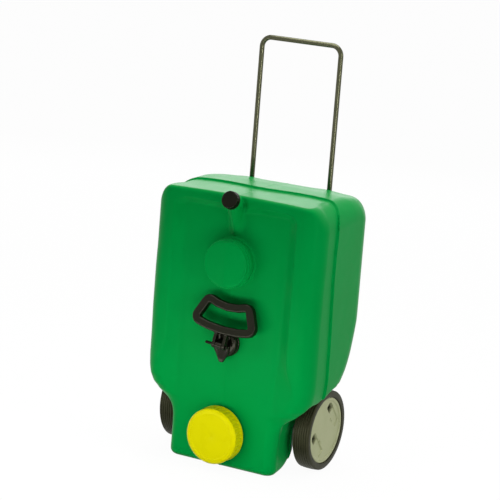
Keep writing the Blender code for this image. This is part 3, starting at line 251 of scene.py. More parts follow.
def tank_form(x, depth, z):
    """Below zero inside the tank, above zero outside, and near its surface a distance in mm."""
    away = np.abs(x)
    width, width_slope = at_place(WIDTH_TABLE, z)
    back, back_slope = at_place(BACK_TABLE, z)
    corner = np.interp(z, *CORNER_TABLE)
    side = (away - width) / np.hypot(1.0, width_slope)
    front = panel_sink(x, z) - SEAM_STEP - depth
    rear = (depth - back) / np.hypot(1.0, back_slope)
    plan = np.maximum(round_max(side, front, corner), round_max(side, rear, REAR_CORNER))

    behind = ease(depth, 150.0, 215.0)
    hump = 2.0 * bell(away, ROD_X, 26.0)
    top = z - (TOP - TOP_FALL * (x / 150.0) ** 2 - behind * (TOP_FALL_BACK - hump))
    front_round = TOP_ROUND_FRONT + TOP_ROUND_FRONT_MORE * ease(side - front, -35.0, 35.0)
    rear_round = TOP_ROUND_REAR + TOP_ROUND_REAR_MORE * ease(side - rear, -35.0, 35.0)
    share = ease(depth, 60.0, 170.0)
    form = round_max(plan, top, front_round * (1.0 - share) + rear_round * share)
    form = form + SEAM_STEP * ease(seam_depth(x, z) - depth, -SEAM_SOFT, SEAM_SOFT)

    under, under_slope = at_place(UNDER_TABLE, depth)
    under = (under - z) / np.hypot(1.0, under_slope)
    form = round_max(form, under, 13.0 - 5.0 * ease(depth, 40.0, 80.0))

    pocket = round_max(WELL_FRONT - depth, z - WELL_FRONT_TOP, 18.0)
    arch = np.hypot(depth - AXLE_DEPTH, z - AXLE_HEIGHT) - WELL_RADIUS
    ceiling = z - WELL_TOP - WELL_TOP_SLOPE * (depth - AXLE_DEPTH)
    ceiling = np.maximum(AXLE_DEPTH - depth, ceiling)
    well = smooth_min(smooth_min(pocket, arch, 8.0), ceiling, 8.0)
    well = smooth_max(well, WELL_INNER - away, 12.0)
    form = round_max(form, -well, 5.0)

    rod_depth = ROD_DEPTH + (z - ROD_EXIT) * math.tan(ROD_LEAN)
    behind_rod = np.minimum(depth - rod_depth, 0.0)
    channel = np.hypot(away - ROD_X, behind_rod) - CHANNEL_RADIUS
    channel = round_max(channel, CHANNEL_LOW - z, 8.0)
    form = round_max(form, -channel, 2.5)

    fairing = capsule(x, depth, z, FAIRING_LOW, FAIRING_HIGH, *FAIRING_RADII)
    form = smooth_min(form, fairing, 14.0)
    foot = np.hypot(x, z - BOSS_HEIGHT) - BOSS_FOOT_RADIUS
    foot = round_max(foot, np.abs(depth - BOSS_FOOT_MIDDLE) - BOSS_FOOT_HALF, 2.0)
    form = smooth_min(form, foot, 3.0)
    return form - PARTING_RISE * bell(x, 0.0, PARTING_REACH)


def spout_form(x, depth, z):
    """The vent spout, and its bore."""
    axis = np.array((0.0, -math.sin(SPOUT_TILT), math.cos(SPOUT_TILT)))
    pd, pz = depth - SPOUT_END[1], z - SPOUT_END[2]
    along = pd * axis[1] + pz * axis[2]
    away = np.sqrt(x**2 + (pd - along * axis[1]) ** 2 + (pz - along * axis[2]) ** 2)
    outside = round_max(away - SPOUT_RADIUS, np.maximum(along, -along - SPOUT_LENGTH), LIP_ROUND)
    bore = np.maximum(away - SPOUT_BORE, -along - SPOUT_BORE_DEPTH)
    return outside, bore


def whole_form(x, depth, z):
    """The tank with its spout, and with the bores of spout and mouth."""
    form = tank_form(x, depth, z)
    outside, vent_bore = spout_form(x, depth, z)
    form = smooth_min(form, outside, 3.0)
    mouth = np.maximum(np.hypot(x, z - NECK_HEIGHT) - NECK_BORE, depth - NECK_REACH)
    form = round_max(form, -mouth, LIP_ROUND)
    return round_max(form, -vent_bore, LIP_ROUND)


def surface_net(values, low, step):
    """Quads round the zero level of a block of values, one point for each mixed cell."""
    inside = values < 0
    shape = tuple(n - 1 for n in values.shape)
    corners = [(i, j, k) for i in (0, 1) for j in (0, 1) for k in (0, 1)]
    count = np.zeros(shape, np.int8)
    for i, j, k in corners:
        count += inside[i : i + shape[0], j : j + shape[1], k : k + shape[2]]
    mixed = (count > 0) & (count < 8)
    cells = np.argwhere(mixed)
    index = np.full(shape, -1, np.int64)
    index[mixed] = np.arange(len(cells))
    total = np.zeros((len(cells), 3))
    hits = np.zeros(len(cells))
    for corner in corners:
        for axis in range(3):
            if corner[axis]:
                continue
            first = cells + np.array(corner)
            other = first.copy()
            other[:, axis] += 1
            a = values[tuple(first.T)].astype(float)
            b = values[tuple(other.T)].astype(float)
            cross = (a < 0) != (b < 0)
            point = first[cross].astype(float)
            point[:, axis] += a[cross] / (a[cross] - b[cross])
            total[cross] += point
            hits[cross] += 1
    points = np.array(low) + step * total / hits[:, None]
    quads = []
    for axis in range(3):
        u, v = (axis + 1) % 3, (axis + 2) % 3
        near = inside.take(range(shape[axis]), axis)
        far = inside.take(range(1, shape[axis] + 1), axis)
        nodes = np.argwhere(near != far)
        keep = (nodes[:, u] > 0) & (nodes[:, v] > 0)
        keep &= (nodes[:, u] < shape[u]) & (nodes[:, v] < shape[v])
        nodes = nodes[keep]
        back_u, back_v = np.eye(3, dtype=int)[u], np.eye(3, dtype=int)[v]
        ring = [nodes, nodes - back_u, nodes - back_u - back_v, nodes - back_v]
        quad = np.stack([index[tuple(n.T)] for n in ring], axis=1)
        flip = ~near[tuple(nodes.T)]
        quad[flip] = quad[flip][:, ::-1]
        quads.append(quad)
    return points, np.concatenate(quads)


def settle(points, form, rounds=3, nudge=0.25, limit=1.0):
    """Move points onto the zero level of a form."""
    for _ in range(rounds):
        value = form(*points.T)
        slope = np.empty_like(points)
        for axis in range(3):
            step = np.zeros(3)
            step[axis] = nudge
            slope[:, axis] = form(*(points + step).T) - form(*(points - step).T)
        slope /= 2 * nudge
        move = slope * (value / np.maximum((slope**2).sum(1), 0.05))[:, None]
        length = np.linalg.norm(move, axis=1)
        move *= np.minimum(1.0, limit / np.maximum(length, 1e-9))[:, None]
        points = points - move
    return points


def to_frame(points):
    """Points in (x, depth, z) millimetres to the part's own metres."""
    points = np.array(points, float) * MM
    points[:, 1] += FRONT_Y
    points[:, 2] -= GROUND * MM
    return points


def quad_mesh(name, points, quads):
    mesh = bpy.data.meshes.new(name)
    mesh.vertices.add(len(points))
    mesh.vertices.foreach_set("co", np.asarray(points, np.float32).ravel())
    mesh.loops.add(quads.size)
    mesh.loops.foreach_set("vertex_index", quads.astype(np.int32).ravel())
    mesh.polygons.add(len(quads))
    mesh.polygons.foreach_set("loop_start", np.arange(0, quads.size, 4, dtype=np.int32))
    mesh.update(calc_edges=True)
    mesh.validate()
    mesh.shade_smooth()
    return mesh


# Pieces
def add(name, mesh, material, body, replaced=()):
    """Put a piece on its body and the CAD nodes that it stands in for."""
    obj = bpy.data.objects.new(name, mesh)
    bpy.context.scene.collection.objects.link(obj)
    obj.data.materials.clear()
    obj.data.materials.append(material)
    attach(obj, body)
    if replaced:
        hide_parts(*replaced)
    return obj


def modified_mesh(obj, name):
    """The mesh that an object has after its modifiers."""
    graph = bpy.context.evaluated_depsgraph_get()
    graph.update()
    mesh = bpy.data.meshes.new_from_object(obj.evaluated_get(graph))
    mesh.name = name
    return mesh


def softened(node, voxel, passes):
    """A finer copy of a CAD node's mesh, with its edges softened as moulding leaves them."""
    source = bpy.data.objects.new("source", NODES[node].data.copy())
    bpy.context.scene.collection.objects.link(source)
    remesh = source.modifiers.new("remesh", "REMESH")
    remesh.mode = "VOXEL"
    remesh.voxel_size = voxel
    soft = source.modifiers.new("soft", "SMOOTH")
    soft.factor = 0.5
    soft.iterations = passes
    mesh = modified_mesh(source, f"{node}_soft")
    bpy.data.objects.remove(source)
    mesh.shade_smooth()
    return mesh


def lathe(profile, steps, closed=False, wobble=None):
    """Turn a profile of (radius, height) round Z into points and quads, in millimetres.

    A wobble gives each point's change of radius and height from its angle, radius and height.
    """
    radii, heights = np.array(profile, float).T
    angles = np.linspace(0.0, math.tau, steps, endpoint=False)
    radius = np.repeat(radii[None, :], steps, 0)
    height = np.repeat(heights[None, :], steps, 0)
    angle = np.repeat(angles[:, None], len(radii), 1)
    if wobble is not None:
        more_radius, more_height = wobble(angle, radius, height)
        radius, height = radius + more_radius, height + more_height
    points = np.stack([radius * np.cos(angle), radius * np.sin(angle), height], axis=-1)
    count = len(radii)
    number = np.arange(steps * count).reshape(steps, count)
    after = np.roll(number, -1, axis=0)
    spans = count if closed else count - 1
    quads = []
    for i in range(spans):
        j = (i + 1) % count
        quads.append(np.stack([number[:, i], number[:, j], after[:, j], after[:, i]], axis=1))
    return points.reshape(-1, 3), np.concatenate(quads)


def lathe_mesh(name, profile, steps, matrix, closed=False, wobble=None, sharp=50.0):
    """A turned piece, placed by its matrix; edges over the sharp angle stay sharp."""
    points, quads = lathe(profile, steps, closed, wobble)
    mesh = quad_mesh(name, points * MM, quads)
    bm = bmesh.new()
    bm.from_mesh(mesh)
    bmesh.ops.remove_doubles(bm, verts=bm.verts, dist=1e-6)
    bmesh.ops.recalc_face_normals(bm, faces=bm.faces)
    bmesh.ops.transform(bm, matrix=matrix, verts=bm.verts)
    bm.to_mesh(mesh)
    bm.free()
    mesh.shade_smooth()
    mesh.set_sharp_from_angle(angle=math.radians(sharp))
    return mesh


def fine(profile, steps=4, tension=0.5):
    """Round a profile's corners: each inner point becomes a short curve."""
    points = [Vector(p) for p in profile]
    result = [tuple(points[0])]
    for before, here, after in zip(points, points[1:], points[2:]):
        reach = tension * min((before - here).length, (after - here).length)
        start = here + (before - here).normalized() * reach
        end = here + (after - here).normalized() * reach
        for i in range(steps + 1):
            t = i / steps
            result.append(tuple(start * (1 - t) ** 2 + here * 2 * t * (1 - t) + end * t * t))
    result.append(tuple(points[-1]))
    return result


def facing_front(depth, height):
    """Frame whose Z points out of the tank's front, at this depth and height in millimetres."""
    place = Matrix.Translation((0.0, FRONT_Y + depth * MM, (height - GROUND) * MM))
    return place @ Matrix.Rotation(math.radians(90.0), 4, "X")


# Materials
def new_material(name, **inputs):
    """A material with some of its shader's inputs set, and what its nodes are built from."""
    material = bpy.data.materials.new(name)
    material.use_nodes = True
    nodes, links = material.node_tree.nodes, material.node_tree.links
    shader = nodes["Principled BSDF"]
    for key, value in inputs.items():
        shader.inputs[key.replace("_", " ")].default_value = value
    coords = nodes.new("ShaderNodeTexCoord")
    return material, nodes, links, shader, coords.outputs["Object"]


def noise(nodes, links, where, scale, detail, distortion=0.0):
    node = nodes.new("ShaderNodeTexNoise")
    node.inputs["Scale"].default_value = scale
    node.inputs["Detail"].default_value = detail
    node.inputs["Distortion"].default_value = distortion
    links.new(where, node.inputs["Vector"])
    return node.outputs["Fac"]


def ramp(nodes, links, source, stops):
    node = nodes.new("ShaderNodeValToRGB")
    elements = node.color_ramp.elements
    while len(elements) < len(stops):
        elements.new(0.5)
    for element, (place, colour) in zip(elements, stops):
        element.position = place
        element.color = (*colour, 1.0)
    links.new(source, node.inputs["Fac"])
    return node.outputs["Color"]


def spread(nodes, links, source, low, high, start=0.0, stop=1.0):
    """Turn a value between start and stop into one between low and high."""
    node = nodes.new("ShaderNodeMapRange")
    node.inputs["From Min"].default_value = start
    node.inputs["From Max"].default_value = stop
    node.inputs["To Min"].default_value = low
    node.inputs["To Max"].default_value = high
    links.new(source, node.inputs["Value"])
    return node.outputs["Result"]


def bump(nodes, links, shader, height, distance, strength, under=None):
    node = nodes.new("ShaderNodeBump")
    node.inputs["Distance"].default_value = distance
    node.inputs["Strength"].default_value = strength
    links.new(height, node.inputs["Height"])
    if under is not None:
        links.new(under, node.inputs["Normal"])
    links.new(node.outputs["Normal"], shader.inputs["Normal"])
    return node.outputs["Normal"]


def moulded(name, colours, roughness, grain_scale, grain_depth, patch_scale=9.0, **inputs):
    """Moulded plastic or rubber: soft colour patches, uneven gloss and a fine surface grain."""
    material, nodes, links, shader, where = new_material(name, **inputs)
    patches = noise(nodes, links, where, patch_scale, detail=3.0, distortion=0.4)
    colour = ramp(nodes, links, patches, [(0.30, colours[0]), (0.70, colours[1])])
    links.new(colour, shader.inputs["Base Color"])
    gloss = noise(nodes, links, where, patch_scale * 4.0, detail=4.0)
    uneven = spread(nodes, links, gloss, roughness - 0.06, roughness + 0.06)
    links.new(uneven, shader.inputs["Roughness"])
    grain = noise(nodes, links, where, grain_scale, detail=3.0)
    broad = noise(nodes, links, where, scale=26.0, detail=1.0)
    under = bump(nodes, links, shader, broad, distance=0.0012, strength=0.35)
    bump(nodes, links, shader, grain, grain_depth, strength=0.6, under=under)
    return material


def metal(name, colours, roughness, streak=(40.0, 40.0, 6.0)):
    """Plated steel with fine drawn streaks."""
    material, nodes, links, shader, where = new_material(name, Metallic=1.0)
    stretch = nodes.new("ShaderNodeMapping")
    stretch.inputs["Scale"].default_value = streak
    links.new(where, stretch.inputs["Vector"])
    streaks = noise(nodes, links, stretch.outputs["Vector"], scale=14.0, detail=4.0)
    colour = ramp(nodes, links, streaks, [(0.35, colours[0]), (0.65, colours[1])])
    links.new(colour, shader.inputs["Base Color"])
    uneven = spread(nodes, links, streaks, roughness - 0.05, roughness + 0.08)
    links.new(uneven, shader.inputs["Roughness"])
    bump(nodes, links, shader, streaks, distance=0.00004, strength=0.5)
    return material


def black_moulding(name, shine):
    colours = [(0.0025, 0.0028, 0.0015), (0.0055, 0.0058, 0.0030)]
    return moulded(
        name, colours, roughness=0.24, grain_scale=1100.0, grain_depth=0.0001, patch_scale=30.0,
        Specular_IOR_Level=shine, Specular_Tint=(1.0, 1.0, 0.75, 1.0),
    )


GREEN = moulded(
    "green_polyethylene", [(0.0, 0.250, 0.040), (0.0, 0.272, 0.048)],
    roughness=0.32, grain_scale=900.0, grain_depth=0.00012, patch_scale=5.0,
    Specular_IOR_Level=0.055, Specular_Tint=(0.1, 1.0, 0.4, 1.0),
)
YELLOW = moulded(
    "yellow_polypropylene", [(0.57, 0.535, 0.0), (0.60, 0.56, 0.0)],
    roughness=0.28, grain_scale=1200.0, grain_depth=0.00006,
    Specular_IOR_Level=0.12, Specular_Tint=(1.0, 1.0, 0.1, 1.0),
)
BLACK = black_moulding("black_moulding", 0.11)
HANDLE_BLACK = black_moulding("black_handle", 0.20)
FITTING = moulded(
    "black_fitting", [(0.010, 0.009, 0.007), (0.017, 0.015, 0.012)],
    roughness=0.46, grain_scale=1100.0, grain_depth=0.0001, patch_scale=30.0,
    Specular_IOR_Level=0.2,
)
TYRE = moulded(
    "tyre_rubber", [(0.016, 0.017, 0.007), (0.031, 0.032, 0.015)],
    roughness=0.44, grain_scale=800.0, grain_depth=0.0002, patch_scale=22.0,
    Specular_IOR_Level=0.16, Specular_Tint=(1.0, 1.0, 0.7, 1.0),
)
WHEEL_GREY = moulded(
    "wheel_grey", [(0.375, 0.40, 0.225), (0.425, 0.45, 0.26)],
    roughness=0.42, grain_scale=1000.0, grain_depth=0.00008, patch_scale=16.0,
    Specular_IOR_Level=0.12,
)
NYLON = moulded(
    "bush_nylon", [(0.55, 0.55, 0.50), (0.62, 0.62, 0.57)],
    roughness=0.5, grain_scale=1000.0, grain_depth=0.00005,
)
SEAL = moulded(
    "seal_rubber", [(0.02, 0.02, 0.018), (0.03, 0.03, 0.026)],
    roughness=0.6, grain_scale=900.0, grain_depth=0.0001,
)
ROD_STEEL = metal("rod_steel", [(0.066, 0.068, 0.038), (0.104, 0.106, 0.064)], 0.16)
PLATED = metal("plated_steel", [(0.50, 0.49, 0.44), (0.60, 0.59, 0.54)], 0.34, (60.0, 60.0, 60.0))


def paint_depth_shade(material, face, deep, left):
    """Paint shade into a wheel centre's colour where it lies far behind the wheel's outer face, so
    its deep windows and pockets look shaded dark.
    """
    nodes, links = material.node_tree.nodes, material.node_tree.links
    base = nodes["Principled BSDF"].inputs["Base Color"]
    where = nodes.new("ShaderNodeTexCoord").outputs["Object"]
    parts = nodes.new("ShaderNodeSeparateXYZ")
    links.new(where, parts.inputs["Vector"])
    away = nodes.new("ShaderNodeMath")
    away.operation = "ABSOLUTE"
    links.new(parts.outputs["X"], away.inputs[0])
    level = spread(nodes, links, away.outputs["Value"], left, 1.0, deep * MM, face * MM)
    shade = nodes.new("ShaderNodeVectorMath")
    shade.operation = "SCALE"
    links.new(base.links[0].from_socket, shade.inputs["Vector"])
    links.new(level, shade.inputs["Scale"])
    links.new(shade.outputs["Vector"], base)


# Painted shade: the wheel centres' deep windows and pockets are darkened in their colour, to a few
# hundredths at the deepest.
paint_depth_shade(WHEEL_GREY, face=WHEEL_OUTER - 7.0, deep=WHEEL_OUTER - 13.0, left=0.04)


# Tank, boss and necks
def build_tank():
    low = np.array(GRID_LOW)
    counts = ((np.array(GRID_HIGH) - low) / GRID_STEP).astype(int) + 1
    axes = [low[i] + GRID_STEP * np.arange(counts[i]) for i in range(3)]
    x = axes[0][:, None, None]
    depth = axes[1][None, :, None]
    z = axes[2][None, None, :]
    values = whole_form(x, depth, z).astype(np.float32)
    points, quads = surface_net(values, low, GRID_STEP)
    points = settle(points, whole_form)
    mesh = quad_mesh("tank_body", to_frame(points), quads)
    add("tank_body", mesh, GREEN, "tank", ["tank_shell"])


def thread_wobble(crests, rise):
    """Rounded ridges round a neck, at these heights."""

    def wobble(_angle, radius, height):
        more = np.zeros_like(radius)
        for crest in crests:
            more += rise * bell(height, crest, THREAD_REACH) * (radius > THREAD_EDGE)
        return more, np.zeros_like(height)

    return wobble


def build_necks():
    wall = [(NECK_RADIUS, h) for h in np.linspace(32.6, 1.0, NECK_ROWS)]
    face = [(r, 33.6 + 0.012 * (47.0 - r)) for r in np.linspace(0.0, 44.5, 12)]
    rim = fine([(44.5, 33.6), (47.4, 33.6), (NECK_RADIUS, 31.5)], 5)
    profile = face + rim[1:-1] + wall[1:] + [(50.5, -1.0)]
    threads = thread_wobble((26.5, 17.5), 2.3)

    def creased(angle, radius, height):
        more_radius, more_height = threads(angle, radius, height)
        face_only = (height > 33.0) & (radius < 46.0)
        ridge = 3.0 - 0.09 * np.abs(radius * np.cos(angle))
        return more_radius, more_height + ridge * face_only

    place = facing_front(BOSS_BASE, BOSS_HEIGHT)
    mesh = lathe_mesh("closed_boss", profile, NECK_STEPS, place, wobble=creased)
    add("closed_boss", mesh, GREEN, "tank")

    wall = [(NECK_RADIUS, h) for h in np.linspace(32.0, 0.0, NECK_ROWS)]
    bore = [(NECK_BORE, 0.0), (NECK_BORE, 33.5), (43.0, NECK_REACH)]
    profile = bore + [(46.8, NECK_REACH), (NECK_RADIUS, 33.4)] + wall
    place = facing_front(NECK_BASE, NECK_HEIGHT)
    threads = thread_wobble((26.0, 17.5), 2.0)
    mesh = lathe_mesh("mouth_neck", profile, NECK_STEPS, place, wobble=threads)
    add("mouth_neck", mesh, GREEN, "tank")


# Screw caps
def cap_profile(radius, length, top, wall, chamfer):
    """A plain screw cap: a flat face, a rounded shoulder and a small lip."""
    inner, shoulder = radius - wall, radius - chamfer
    flat = [(0.55 * radius, length), (0.60 * radius, length), (shoulder, length)]
    face = [(0.0, length), (0.55 * radius, length)] + fine(flat, 4, 0.4)[1:-1]
    edge = [(0.62 * radius, length), (shoulder, length)]
    edge += [(radius, length - chamfer), (radius, length - 2.2 * chamfer)]
    side = [(radius, h) for h in np.linspace(length - 2.4 * chamfer, 0.16 * length, 10)]
    lip = [(radius, 0.15 * length), (radius + 0.6, 0.09 * length)]
    lip += [(radius + 0.6, 0.0), (inner, 0.0)]
    inside = [(inner, 0.0), (inner, length - top), (0.0, length - top)]
    return face + fine(edge, 5, 0.45)[1:] + side + fine(lip, 4, 0.4) + inside


def knurled(ribs, deep, low, high, edge):
    """Grip ribs round a cap's side between two heights."""

    def wobble(angle, radius, height):
        wave = 0.5 + 0.5 * np.cos(angle * ribs)
        gap = ease(wave, -0.2, 0.75)
        on = ease(height, low, low + 2.0) * (1.0 - ease(height, high - 1.0, high)) * (radius > edge)
        return -deep * (1.0 - gap) * on, np.zeros_like(height)

    return wobble


def build_caps():
    length, radius, inner = 32.5, 56.5, 51.0
    matrix = facing_front(NECK_BASE - NECK_REACH + CAP_OVER_NECK, NECK_HEIGHT)
    top = length - 0.5
    face = [(0.0, top - 0.4), (0.8, top - 0.4), (1.6, top), (20.0, top)]
    rim = [(20.0, top), (45.4, top), (46.6, length), (53.6, length - 1.1)]
    rim += [(radius, length - 4.2), (radius, 27.0)]
    side = [(radius, h) for h in np.linspace(26.0, 5.2, 11)]
    lip = fine([(radius, 4.9), (radius + 0.7, 3.0), (radius + 0.7, 0.0), (inner, 0.0)], 4, 0.4)
    profile = face + fine(rim, 5, 0.42)[1:] + side + lip + [(inner, 28.7), (0.0, 28.7)]
    grip = knurled(ribs=35, deep=1.7, low=5.0, high=27.0, edge=54.0)
    mesh = lathe_mesh("drain_cap_knurled", profile, 420, matrix, wobble=grip)
    add("drain_cap_knurled", mesh, YELLOW, "drain_cap_turn", ["drain_cap"])

    turn = Matrix.Rotation(SPOUT_TILT, 4, "X")
    axis = Vector((0.0, -math.sin(SPOUT_TILT), math.cos(SPOUT_TILT)))
    end = Vector((0.0, FRONT_Y + SPOUT_END[1] * MM, (SPOUT_END[2] - GROUND) * MM))
    matrix = Matrix.Translation(end + axis * (VENT_CAP_PAST_SPOUT - VENT_CAP_LENGTH) * MM) @ turn
    profile = cap_profile(17.5, VENT_CAP_LENGTH, top=2.8, wall=3.2, chamfer=1.5)
    grip = knurled(ribs=18, deep=0.8, low=2.0, high=11.0, edge=16.0)
    mesh = lathe_mesh("vent_cap_knurled", profile, 216, matrix, wobble=grip)
    add("vent_cap_knurled", mesh, BLACK, "vent_cap_turn", ["vent_cap"])


# Wheels
def wheel_pockets(side):
    """Relief of the wheel centre's face: a rim ring, and two pockets with a window and ribs."""

    def relief(angle, radius, height):
        face = (height > -0.01) & (radius < 67.0)
        back, up = radius * np.sin(angle), -side * radius * np.cos(angle)
        across = POCKET_COS * back + POCKET_SIN * up
        along = POCKET_SIN * back - POCKET_COS * up
        away = np.abs(across)
        within = 1.0 - ease(radius, 54.5, 56.5)
        band = between(away, (30.0, 31.6), (48.6, 50.2)) * within
        slot = between(away, (32.0, 33.0), (48.6, 49.8)) * within
        window = slot * between(along, (-34.0, -33.0), (-12.5, -11.5))
        recess = band * between(along, (-33.0, -31.0), (27.0, 29.0))
        rib = between(away, (24.6, 25.6), (29.4, 30.4))
        lower = ease(along, -2.6, -1.8) - ease(along, 0.4, 1.2)
        ribs = rib * (lower + ease(along, 4.0, 4.8) - ease(along, 7.0, 7.8))
        ring = 1.0 - ease(radius, 59.5, 61.5)
        down = -2.0 * ring - 17.0 * window - 2.6 * recess - 1.2 * ribs
        return np.zeros_like(radius), (down - 0.3) * face

    return relief


def build_wheel(side, word):
    turn = Matrix.Rotation(math.radians(90.0 * side), 4, "Y")
    height = (AXLE_HEIGHT - GROUND) * MM
    matrix = Matrix.Translation((side * WHEEL_OUTER * MM, FRONT_Y + AXLE_DEPTH * MM, height)) @ turn
    tread = []
    for i in range(TREAD_GROOVES + 1):
        middle = TREAD_START - i * TREAD_PITCH
        crown = WHEEL_RADIUS - TREAD_CROWN * ((middle + TREAD_MIDDLE) / TREAD_HALF) ** 2
        edge = 0.5 * TREAD_PITCH
        corners = [(crown - 1.3, middle + edge), (crown, middle + edge - 0.7)]
        corners += [(crown, middle - edge + 0.7), (crown - 1.3, middle - edge)]
        tread += fine(corners, 3, 0.45)
    outer = [(68.4, -0.7), (70.2, 0.0), (77.0, 0.0), (80.4, -1.6)]
    wall_out = fine(outer, 4, 0.45)
    wall_in = fine([(r, -2.0 * TREAD_MIDDLE - h) for r, h in reversed(outer)], 4, 0.45)
    profile = wall_out + tread + wall_in
    mesh = lathe_mesh(f"tyre_ribbed_{word}", profile, 192, matrix, closed=True, sharp=60.0)
    add(f"tyre_ribbed_{word}", mesh, TYRE, f"wheel_{word}", [f"tyre_{word}"])

    profile = [(r, -CENTRE_FACE) for r in np.linspace(0.0, 65.8, 88)]
    profile += [(66.8, -1.9), (67.6, -3.4), (67.9, -5.0), (67.9, -33.0), (63.0, -33.0)]
    profile += [(63.0, -18.0), (21.0, -18.0), (15.0, -24.0), (15.0, -46.0), (8.8, -46.0)]
    profile += [(8.8, -20.0), (0.0, -20.0)]
    pockets = wheel_pockets(side)

    def relief(angle, radius, height):
        return pockets(angle, radius, height + CENTRE_FACE)

    name, node = f"wheel_centre_{word}", f"wheel_disc_{word}"
    mesh = lathe_mesh(name, profile, 360, matrix, wobble=relief, sharp=40.0)
    add(name, mesh, WHEEL_GREY, f"wheel_{word}", [node])


# Pull rod and black mouldings
def build_rod():
    low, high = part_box("pull_rod")
    lean = Matrix.Rotation(-ROD_LEAN, 4, "X")
    top_depth = ROD_DEPTH + (ROD_TOP - ROD_EXIT) * math.tan(ROD_LEAN)
    top = Vector((0.0, FRONT_Y + top_depth * MM, (ROD_TOP - GROUND) * MM))
    matrix = Matrix.Translation(top) @ lean
    length = (high.z - low.z - ROD_RADIUS * MM) / math.cos(ROD_LEAN)
    right = [(ROD_X, -length / MM), (ROD_X, -300.0), (ROD_X, -40.0)]
    right += [
        (ROD_X - ROD_BEND + ROD_BEND * math.cos(a), -ROD_BEND + ROD_BEND * math.sin(a))
        for a in np.linspace(0.0, math.pi / 2, 15)
    ]
    path = right + [(-x, h) for x, h in reversed(right)]
    curve = bpy.data.curves.new("rod_bent", "CURVE")
    curve.dimensions = "3D"
    curve.bevel_depth = ROD_RADIUS * MM
    curve.bevel_resolution = 8
    curve.use_fill_caps = True
    spline = curve.splines.new("POLY")
    spline.points.add(len(path) - 1)
    for point, (x, h) in zip(spline.points, path):
        point.co = (x * MM, 0.0, h * MM, 1.0)
    source = bpy.data.objects.new("rod_source", curve)
    bpy.context.scene.collection.objects.link(source)
    mesh = modified_mesh(source, "rod_bent")
    bpy.data.objects.remove(source)
    mesh.transform(matrix)
    mesh.shade_smooth()
    add("rod_bent", mesh, ROD_STEEL, "pull_handle", ["pull_rod"])


def build_mouldings():
    for node, body, voxel, passes in (
        ("carry_handle", "carry_loop", 0.0009, 6),
        ("handle_knuckle", "handle_swivel", 0.0008, 5),
        ("handle_base", "tank", 0.0007, 3),
    ):
        mesh = softened(node, voxel, passes)
        add(f"{node}_moulded", mesh, HANDLE_BLACK, body, [node])
    for pair, body, voxel in (
        ("axle_saddle", "tank", 0.0008),
        ("rod_guide_upper", "tank", 0.0007),
        ("rod_guide_lower", "tank", 0.0007),
        ("rod_stop", "pull_handle", 0.0007),
    ):
        for word in ("left", "right"):
            node = f"{pair}_{word}"
            mesh = softened(node, voxel, 3)
            add(f"{node}_moulded", mesh, FITTING, body, [node])


def dress_nodes():
    """Materials for the CAD nodes that stay as they are."""
    for name, obj in NODES.items():
        if name.startswith("base_screw") or name == "handle_pin":
            material = BLACK
        elif "screw" in name or name == "axle" or name.startswith("push_nut"):
            material = PLATED
        elif name.endswith("_seal"):
            material = SEAL
        elif name.startswith("wheel_bush"):
            material = NYLON
        else:
            material = FITTING
        obj.data.materials.clear()
        obj.data.materials.append(material)


# Floor, lights and camera
def seen_directly(nodes, links):
    """The light path, and a value of one for what the camera, mirrors and clear pieces see."""
    path = nodes.new("ShaderNodeLightPath")
    seen = path.outputs["Is Camera Ray"]
    for ray in ("Is Glossy Ray", "Is Transmission Ray"):
        either = nodes.new("ShaderNodeMath")
        either.operation = "ADD"
        either.use_clamp = True
        links.new(seen, either.inputs[0])
        links.new(path.outputs[ray], either.inputs[1])
        seen = either.outputs["Value"]
    return path, seen


def lit_white(name, pale, bounce, glow, glow_share):
    """A surface that the camera and mirrors see as white, and that keeps soft shadows."""
    material = bpy.data.materials.new(name)
    material.use_nodes = True
    nodes, links = material.node_tree.nodes, material.node_tree.links
    nodes.clear()
    output = nodes.new("ShaderNodeOutputMaterial")
    diffuse = nodes.new("ShaderNodeBsdfDiffuse")
    shine = nodes.new("ShaderNodeEmission")
    shine.inputs["Strength"].default_value = glow
    mix = nodes.new("ShaderNodeMixShader")
    path, seen = seen_directly(nodes, links)
    level = spread(nodes, links, path.outputs["Is Camera Ray"], bounce, pale)
    links.new(level, diffuse.inputs["Color"])
    links.new(spread(nodes, links, seen, 0.0, glow_share), mix.inputs["Fac"])
    links.new(diffuse.outputs["BSDF"], mix.inputs[1])
    links.new(shine.outputs["Emission"], mix.inputs[2])
    links.new(mix.outputs["Shader"], output.inputs["Surface"])
    return material


def build_stage():
    """A white floor, and a world that is white to look at and lights mostly from behind."""
    bm = bmesh.new()
    bmesh.ops.create_grid(bm, x_segments=1, y_segments=1, size=12.0)
    mesh = bpy.data.meshes.new("floor")
    bm.to_mesh(mesh)
    bm.free()
    floor = bpy.data.objects.new("floor", mesh)
    bpy.context.scene.collection.objects.link(floor)
    white = lit_white("floor_white", pale=0.98, bounce=0.44, glow=1.0, glow_share=0.95)
    mesh.materials.append(white)

    world = bpy.data.worlds.new("studio")
    bpy.context.scene.world = world
    world.use_nodes = True
    nodes, links = world.node_tree.nodes, world.node_tree.links
    background = nodes["Background"]
    background.inputs["Color"].default_value = (1.0, 1.0, 1.0, 1.0)
    seen = seen_directly(nodes, links)[1]
    where = nodes.new("ShaderNodeTexCoord")
    lean = nodes.new("ShaderNodeVectorMath")
    lean.operation = "DOT_PRODUCT"
    lean.inputs[1].default_value = (0.0, 0.95, 0.3)
    links.new(where.outputs["Generated"], lean.inputs[0])
    room = spread(nodes, links, lean.outputs["Value"], 0.06, 0.95, start=-0.75, stop=0.7)
    strength = nodes.new("ShaderNodeMapRange")
    strength.inputs["To Max"].default_value = 1.0
    links.new(seen, strength.inputs["Value"])
    links.new(room, strength.inputs["To Min"])
    links.new(strength.outputs["Result"], background.inputs["Strength"])


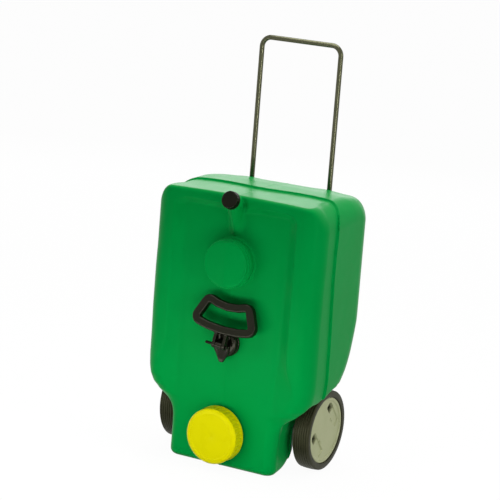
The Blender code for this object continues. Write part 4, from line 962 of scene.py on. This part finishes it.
def area_light(name, place, target, size, power):
    light = bpy.data.lights.new(name, "AREA")
    light.shape = "RECTANGLE"
    light.size, light.size_y = size
    light.energy = power
    obj = bpy.data.objects.new(name, light)
    bpy.context.scene.collection.objects.link(obj)
    obj.location = place
    obj.rotation_euler = (Vector(target) - Vector(place)).to_track_quat("-Z", "Y").to_euler()


def build_lights():
    centre = (0.0, 0.0, 0.35)
    area_light("overhead", (-0.05, 0.16, 1.7), (-0.05, 0.16, 0.0), (1.0, 0.6), 9.5)
    area_light("key_left", (-0.9, -2.3, 3.0), centre, (0.9, 0.9), 18.0)
    area_light("right_side", (2.8, -0.4, 1.2), centre, (0.5, 0.9), 13.0)
    area_light("right_strip", (1.9, -1.1, 0.35), centre, (0.25, 0.6), 6.5)
    area_light("back_soft", (-1.7, 3.1, 1.4), (0.0, 0.0, 0.5), (2.4, 1.1), 15.0)
    area_light("low_front", (0.0, -0.56, 0.12), (0.0, -0.10, 0.16), (0.9, 0.16), 2.1)


def build_camera():
    az, el, roll = CAMERA_AZIMUTH, CAMERA_ELEVATION, CAMERA_ROLL
    ahead = Vector((-math.sin(az) * math.cos(el), math.cos(az) * math.cos(el), -math.sin(el)))
    right = Vector((math.cos(az), math.sin(az), 0.0))
    up = right.cross(ahead)
    across = math.cos(roll) * right + math.sin(roll) * up
    upward = -math.sin(roll) * right + math.cos(roll) * up
    turn = Matrix((across, upward, -ahead)).transposed().to_4x4()
    camera = bpy.data.cameras.new("camera")
    camera.sensor_width = SENSOR
    camera.lens = FOCAL_PIXELS / IMAGE_PIXELS * SENSOR
    obj = bpy.data.objects.new("camera", camera)
    bpy.context.scene.collection.objects.link(obj)
    obj.matrix_world = Matrix.Translation(CAMERA_TARGET - ahead * CAMERA_DISTANCE) @ turn
    bpy.context.scene.camera = obj


build_camera()
build_tank()
build_necks()
build_caps()
build_wheel(-1, "left")
build_wheel(1, "right")
build_rod()
build_mouldings()
dress_nodes()
build_stage()
build_lights()
bpy.context.scene.view_settings.view_transform = "Standard"
